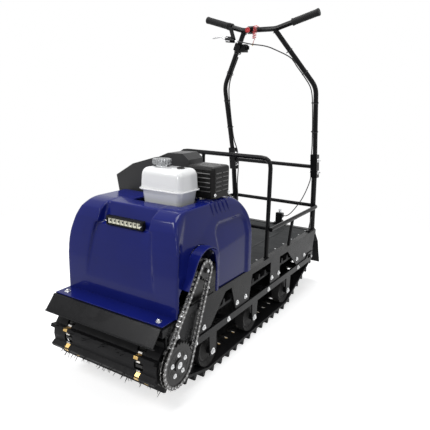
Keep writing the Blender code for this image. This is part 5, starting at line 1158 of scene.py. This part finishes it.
def make_tank():
    """Two pressed halves with a rolled seam, smoother than the solid."""
    low = (TANK_X[0], TANK_Y[0])
    high = (TANK_X[1], TANK_Y[1])
    base, split, top = TANK_Z
    upper = rounded(loose_block((*low, split - 0.03), (*high, top)), 0.024, 8)
    combine(upper, loose_block((-0.3, 0.0, 0.5), (0.3, 0.6, split)))
    inset = 0.005
    lower = loose_block((low[0] + inset, low[1] + inset, base),
                        (high[0] - inset, high[1] - inset, split + 0.02))
    rounded(lower, 0.018, 6)
    combine(lower, loose_block((-0.3, 0.0, split), (0.3, 0.6, 0.8)))
    rim, corner = 0.005, 0.027
    middle = Vector(((low[0] + high[0]) / 2, (low[1] + high[1]) / 2))
    outline = []
    for index, (x, y) in enumerate((high, (low[0], high[1]), low, (high[0], low[1]))):
        inward = corner - rim
        centre = (x - math.copysign(inward, x - middle.x), y - math.copysign(inward, y - middle.y))
        outline += circle(centre, corner, 8, math.radians(90 * index), math.radians(90))
    seam = loose_object(add_prism(bmesh.new(), outline, "z", split - 0.002, split + 0.002))
    rounded(seam, 0.0014, 2, 50)
    combine(upper, seam, "UNION")
    combine(upper, lower, "UNION")
    for vertex in upper.data.vertices:
        point = vertex.co
        above = max(point.z - split - 0.002, 0.0) / (top - split)
        below = max(split - 0.002 - point.z, 0.0) / (split - base)
        taper = 1.0 - 0.05 * above - 0.13 * below ** 1.5
        point.x = middle.x + (point.x - middle.x) * taper
        point.y = middle.y + (point.y - middle.y) * taper
    keep("tank_shell", upper, "white", replaces=("fuel_tank",), smooth=32)
    shape = bmesh.new()
    neck = [(0, -0.004), (0.019, -0.004), (0.019, 0.003), (0.017, 0.006), (0, 0.006)]
    add_turned(shape, neck, (*CAP_PLACE, top), UP, 32)
    keep("tank_neck", shape, "chrome")
    shape = bmesh.new()
    gauge = [(0, -0.003), (0.0128, -0.003), (0.0128, 0.0030), (0.0120, 0.0042), (0.0104, 0.0042),
             (0.0096, 0.0012), (0, 0.0004)]
    add_turned(shape, gauge, (*GAUGE_PLACE, top), UP, 28)
    keep("level_gauge", shape, "tyre")
    bolts = [((x, TANK_Y[0] + 0.0098, split - 0.0022), (0, 0, -1), 0.004, 0.003)
             for x in (TANK_X[0] + 0.020, TANK_X[1] - 0.020)]
    keep_bolts("tank_bolts", bolts)


def make_cap():
    rim = CAP_RADIUS
    profile = [(0, 0), (rim - 0.003, 0), (rim - 0.001, 0.0015), (rim - 0.0004, 0.004),
               (rim - 0.0004, 0.0150), (rim - 0.0016, 0.0172), (rim - 0.0060, 0.0186),
               (rim - 0.0110, 0.0190), (rim - 0.0125, 0.0176), (0.0120, 0.0172), (0.0100, 0.0190),
               (0, 0.0192)]
    shape = bmesh.new()
    add_turned(shape, profile, (*CAP_PLACE, TANK_Z[2] + 0.0063), UP, 144, ribs=(18, 0.0030))
    keep("cap_ribbed", shape, "cap", "tank_cap", replaces=("tank_cap",), smooth=50)


def make_guard_detail():
    """Round dimpled disc on the guard's top, louvre lips on its sides in a lighter grey as a painted highlight
    of light showing through the slots, and its screws.
    """
    low, high = Vector(MUFFLER[0]), Vector(MUFFLER[1])
    shape = bmesh.new()
    centre = ((low.x + high.x) / 2 + 0.004, (low.y + high.y) / 2)
    ring = [(0.030, -0.0003), (0.036, -0.0003), (0.0352, 0.0006), (0.0308, 0.0006)]
    add_turned(shape, ring, (*centre, high.z), UP, 48)
    dimple = [(0, 0), (0.0026, 0), (0.0018, 0.0007), (0, 0.0009)]
    for radius, count in ((0.0, 1), (0.010, 6), (0.020, 12)):
        for place in circle(centre, radius, count):
            add_turned(shape, dimple, (*place, high.z - 0.0002), UP, 10)
    for index in range(5):
        z = low.z + 0.020 + index * 0.0150
        lip = [(high.x - 0.0002, z + 0.0058), (high.x + 0.0024, z + 0.0030), (high.x + 0.0018, z + 0.0022),
               (high.x - 0.0002, z + 0.0046)]
        add_prism(shape, lip, "y", low.y + 0.014, low.y + 0.050)
        add_prism(shape, lip, "y", low.y + 0.058, high.y - 0.014)
        lip = [(low.y + 0.0002, z + 0.0052), (low.y - 0.0018, z + 0.0026), (low.y - 0.0012, z + 0.0018),
               (low.y + 0.0002, z + 0.0040)]
        add_prism(shape, lip, "x", low.x + 0.018, high.x - 0.014)
    # The lips take the lighter grey paint: a painted highlight of light through the slots.
    keep("guard_pressings", shape, "lip_highlight", smooth=40)
    screws = [((high.x, y, low.z + 0.012), LEFT, 0.0034, 0.0026) for y in (low.y + 0.010, high.y - 0.010)]
    keep_bolts("guard_screws", screws)


def make_engine_detail():
    """The recoil cover's ribs, rings, middle cap and bolts."""
    face = RECOIL_FACE
    right = (-1, 0, 0)
    shape = bmesh.new()
    for index in range(14):
        turn = 2 * math.pi * index / 14
        inner = around(face - 0.0002, RECOIL, 0.034, turn)
        outer = around(face - 0.0002, RECOIL, 0.078, turn + 0.16)
        add_tube(shape, [inner, outer], 0.0026)
    for radius in (0.030, 0.082):
        ring = [(radius - 0.002, -0.0004), (radius + 0.002, -0.0004), (radius + 0.0014, 0.0022),
                (radius - 0.0014, 0.0022)]
        add_turned(shape, ring, (face, *RECOIL), right, 56)
    add_turned(shape, [(0, 0), (0.016, 0), (0.015, 0.003), (0, 0.0045)], (face, *RECOIL), right, 32)
    keep("recoil_cover_ribs", shape, "plastic", smooth=50)
    bolts = [(around(face, RECOIL, 0.096, math.radians(turn)), right, 0.004, 0.003)
             for turn in (40, 140, 220, 320)]
    keep_bolts("recoil_cover_bolts", bolts)


def make_air_cleaner_detail():
    """Seam along the cover's front, rear and outer side."""
    inner, outer, front, rear, z = -0.062, -0.2290, 0.2605, 0.3962, 0.600
    shape = bmesh.new()
    edges = (((outer, front), (inner, front)), ((inner, rear), (outer, rear)), ((outer, rear), (outer, front)))
    for ends in edges:
        add_tube(shape, [(*end, z) for end in ends], 0.0018, 6)
    keep("air_cleaner_seam", shape, "plastic", smooth=60)


# Controls


def bar_point(share, side):
    """A point of the handlebar's end on one side, from its flat middle to its tip."""
    start = Vector((side * BAR_FLAT, BAR_Y, BAR_Z))
    end = Vector((side * BAR_END, BAR_Y, BAR_Z + BAR_RISE))
    return start.lerp(end, share)


def make_grips():
    """Ribbed rubber grips with a collar at each end."""
    length = (bar_point(1, 1) - bar_point(0, 1)).length
    rim = GRIP_RADIUS
    total = GRIP_LENGTH + 0.0035
    low, high, bore = 0.0138, 0.0148, 0.0114
    profile = [(bore, 0.0), (rim, 0.0), (rim, 0.004)]
    for index in range(14):
        place = 0.008 + index * 0.0072
        profile += [(low, place - 0.0014), (low, place + 0.0006), (high, place + 0.0018),
                    (high, place + 0.0040)]
    profile += [(low, 0.1088), (rim - 0.0004, 0.1105), (rim, 0.113), (rim, total - 0.002),
                (rim - 0.002, total), (0, total), (0, total - 0.002), (bore, total - 0.002)]
    for side, name in ((1, "left"), (-1, "right")):
        shape = bmesh.new()
        start = bar_point(1 - GRIP_LENGTH / length, side)
        add_turned(shape, profile, start, bar_point(1, side) - bar_point(0, side), 40)
        keep(f"grip_ribbed_{name}", shape, "grip", replaces=(f"grip_{name}",), smooth=32)


def make_control_detail():
    """The lever's pivot bolt, cable adjuster, switch collar and cable ties."""
    centre = Vector(LEVER_PIVOT)
    axis = Vector(LEVER_AXIS).normalized()
    bolts = [(centre + axis * way * 0.0095, axis * way, 0.0034, 0.0028, False) for way in (1, -1)]
    keep_bolts("lever_pivot_bolt", bolts, "hand_lever")
    shape = bmesh.new()
    sleeve = [(0.0026, 0), (0.0046, 0), (0.0046, 0.007), (0.0038, 0.008), (0.0038, 0.014), (0.0026, 0.014)]
    add_turned(shape, sleeve, (-0.104, 0.890, 1.190), (0.044, 0.004, -0.008), 12)
    keep("cable_adjuster", shape, "zinc", smooth=30)
    shape = bmesh.new()
    collar = [(0.0080, 0.0), (0.0112, 0.0), (0.0112, 0.0040), (0.0104, 0.0052), (0.0080, 0.0052)]
    add_turned(shape, collar, (-0.041, BAR_Y - 0.0281, BAR_Z - 0.003), (0, -1, 0), 28)
    keep("kill_switch_collar", shape, "red", smooth=40)
    shape = bmesh.new()
    for side in (-1, 1):
        for z in (1.150, 1.060, 0.93, 0.80):
            tie_ring(shape, *handle_tube_at(side, z))
    keep("cable_ties", shape, "cable", smooth=40)


def handle_tube_at(side, z):
    """Centre and direction of the handlebar's side tube at a height."""
    foot = Vector((side * UPRIGHT_X, 1.118, 0.6405))
    bend = Vector((side * 0.2355, 1.030, 0.998))
    top = Vector((side * 0.073, BAR_Y, BAR_Z))
    low, high = (foot, bend) if z < bend.z else (bend, top)
    share = (z - low.z) / (high.z - low.z)
    return low.lerp(high, share), (high - low).normalized()


def tie_ring(shape, point, heading):
    """A strap of flat section round the tube and the cable beside it."""
    side = Vector((1 if point.x < 0 else -1, 0, 0))
    side = (side - heading * side.dot(heading)).normalized()
    other = heading.cross(side)
    section = ((-0.0016, 0.0123), (0.0016, 0.0123), (0.0016, 0.0133), (-0.0016, 0.0133))
    count = 22
    rings = []
    for step in range(count):
        turn = 2 * math.pi * step / count
        shift = max(math.cos(turn), 0.0) ** 2 * 0.0075
        out = side * math.cos(turn) + other * math.sin(turn)
        middle = point + side * shift
        rings.append([shape.verts.new(middle + out * reach + heading * way) for way, reach in section])
    bridge(shape, rings, closed=True)


def make_hitch_detail():
    """Bolts through the hitch's foot."""
    keep_bolts("hitch_bolts", [((x, 1.1575, 0.3168), UP, 0.0036, 0.0028, False) for x in (0.0135, 0.0665)])


def main():
    bpy.context.scene.view_settings.view_transform = "Standard"
    make_camera()
    make_stage()
    make_materials()
    make_lanyard()
    repaint()
    make_hood()
    make_chain()
    make_sprocket_hardware()
    make_track_hardware()
    make_wheel_hardware()
    make_frame_hardware()
    make_lamp()
    make_tank()
    make_cap()
    make_guard_detail()
    make_engine_detail()
    make_air_cleaner_detail()
    make_grips()
    make_control_detail()
    make_hitch_detail()


main()
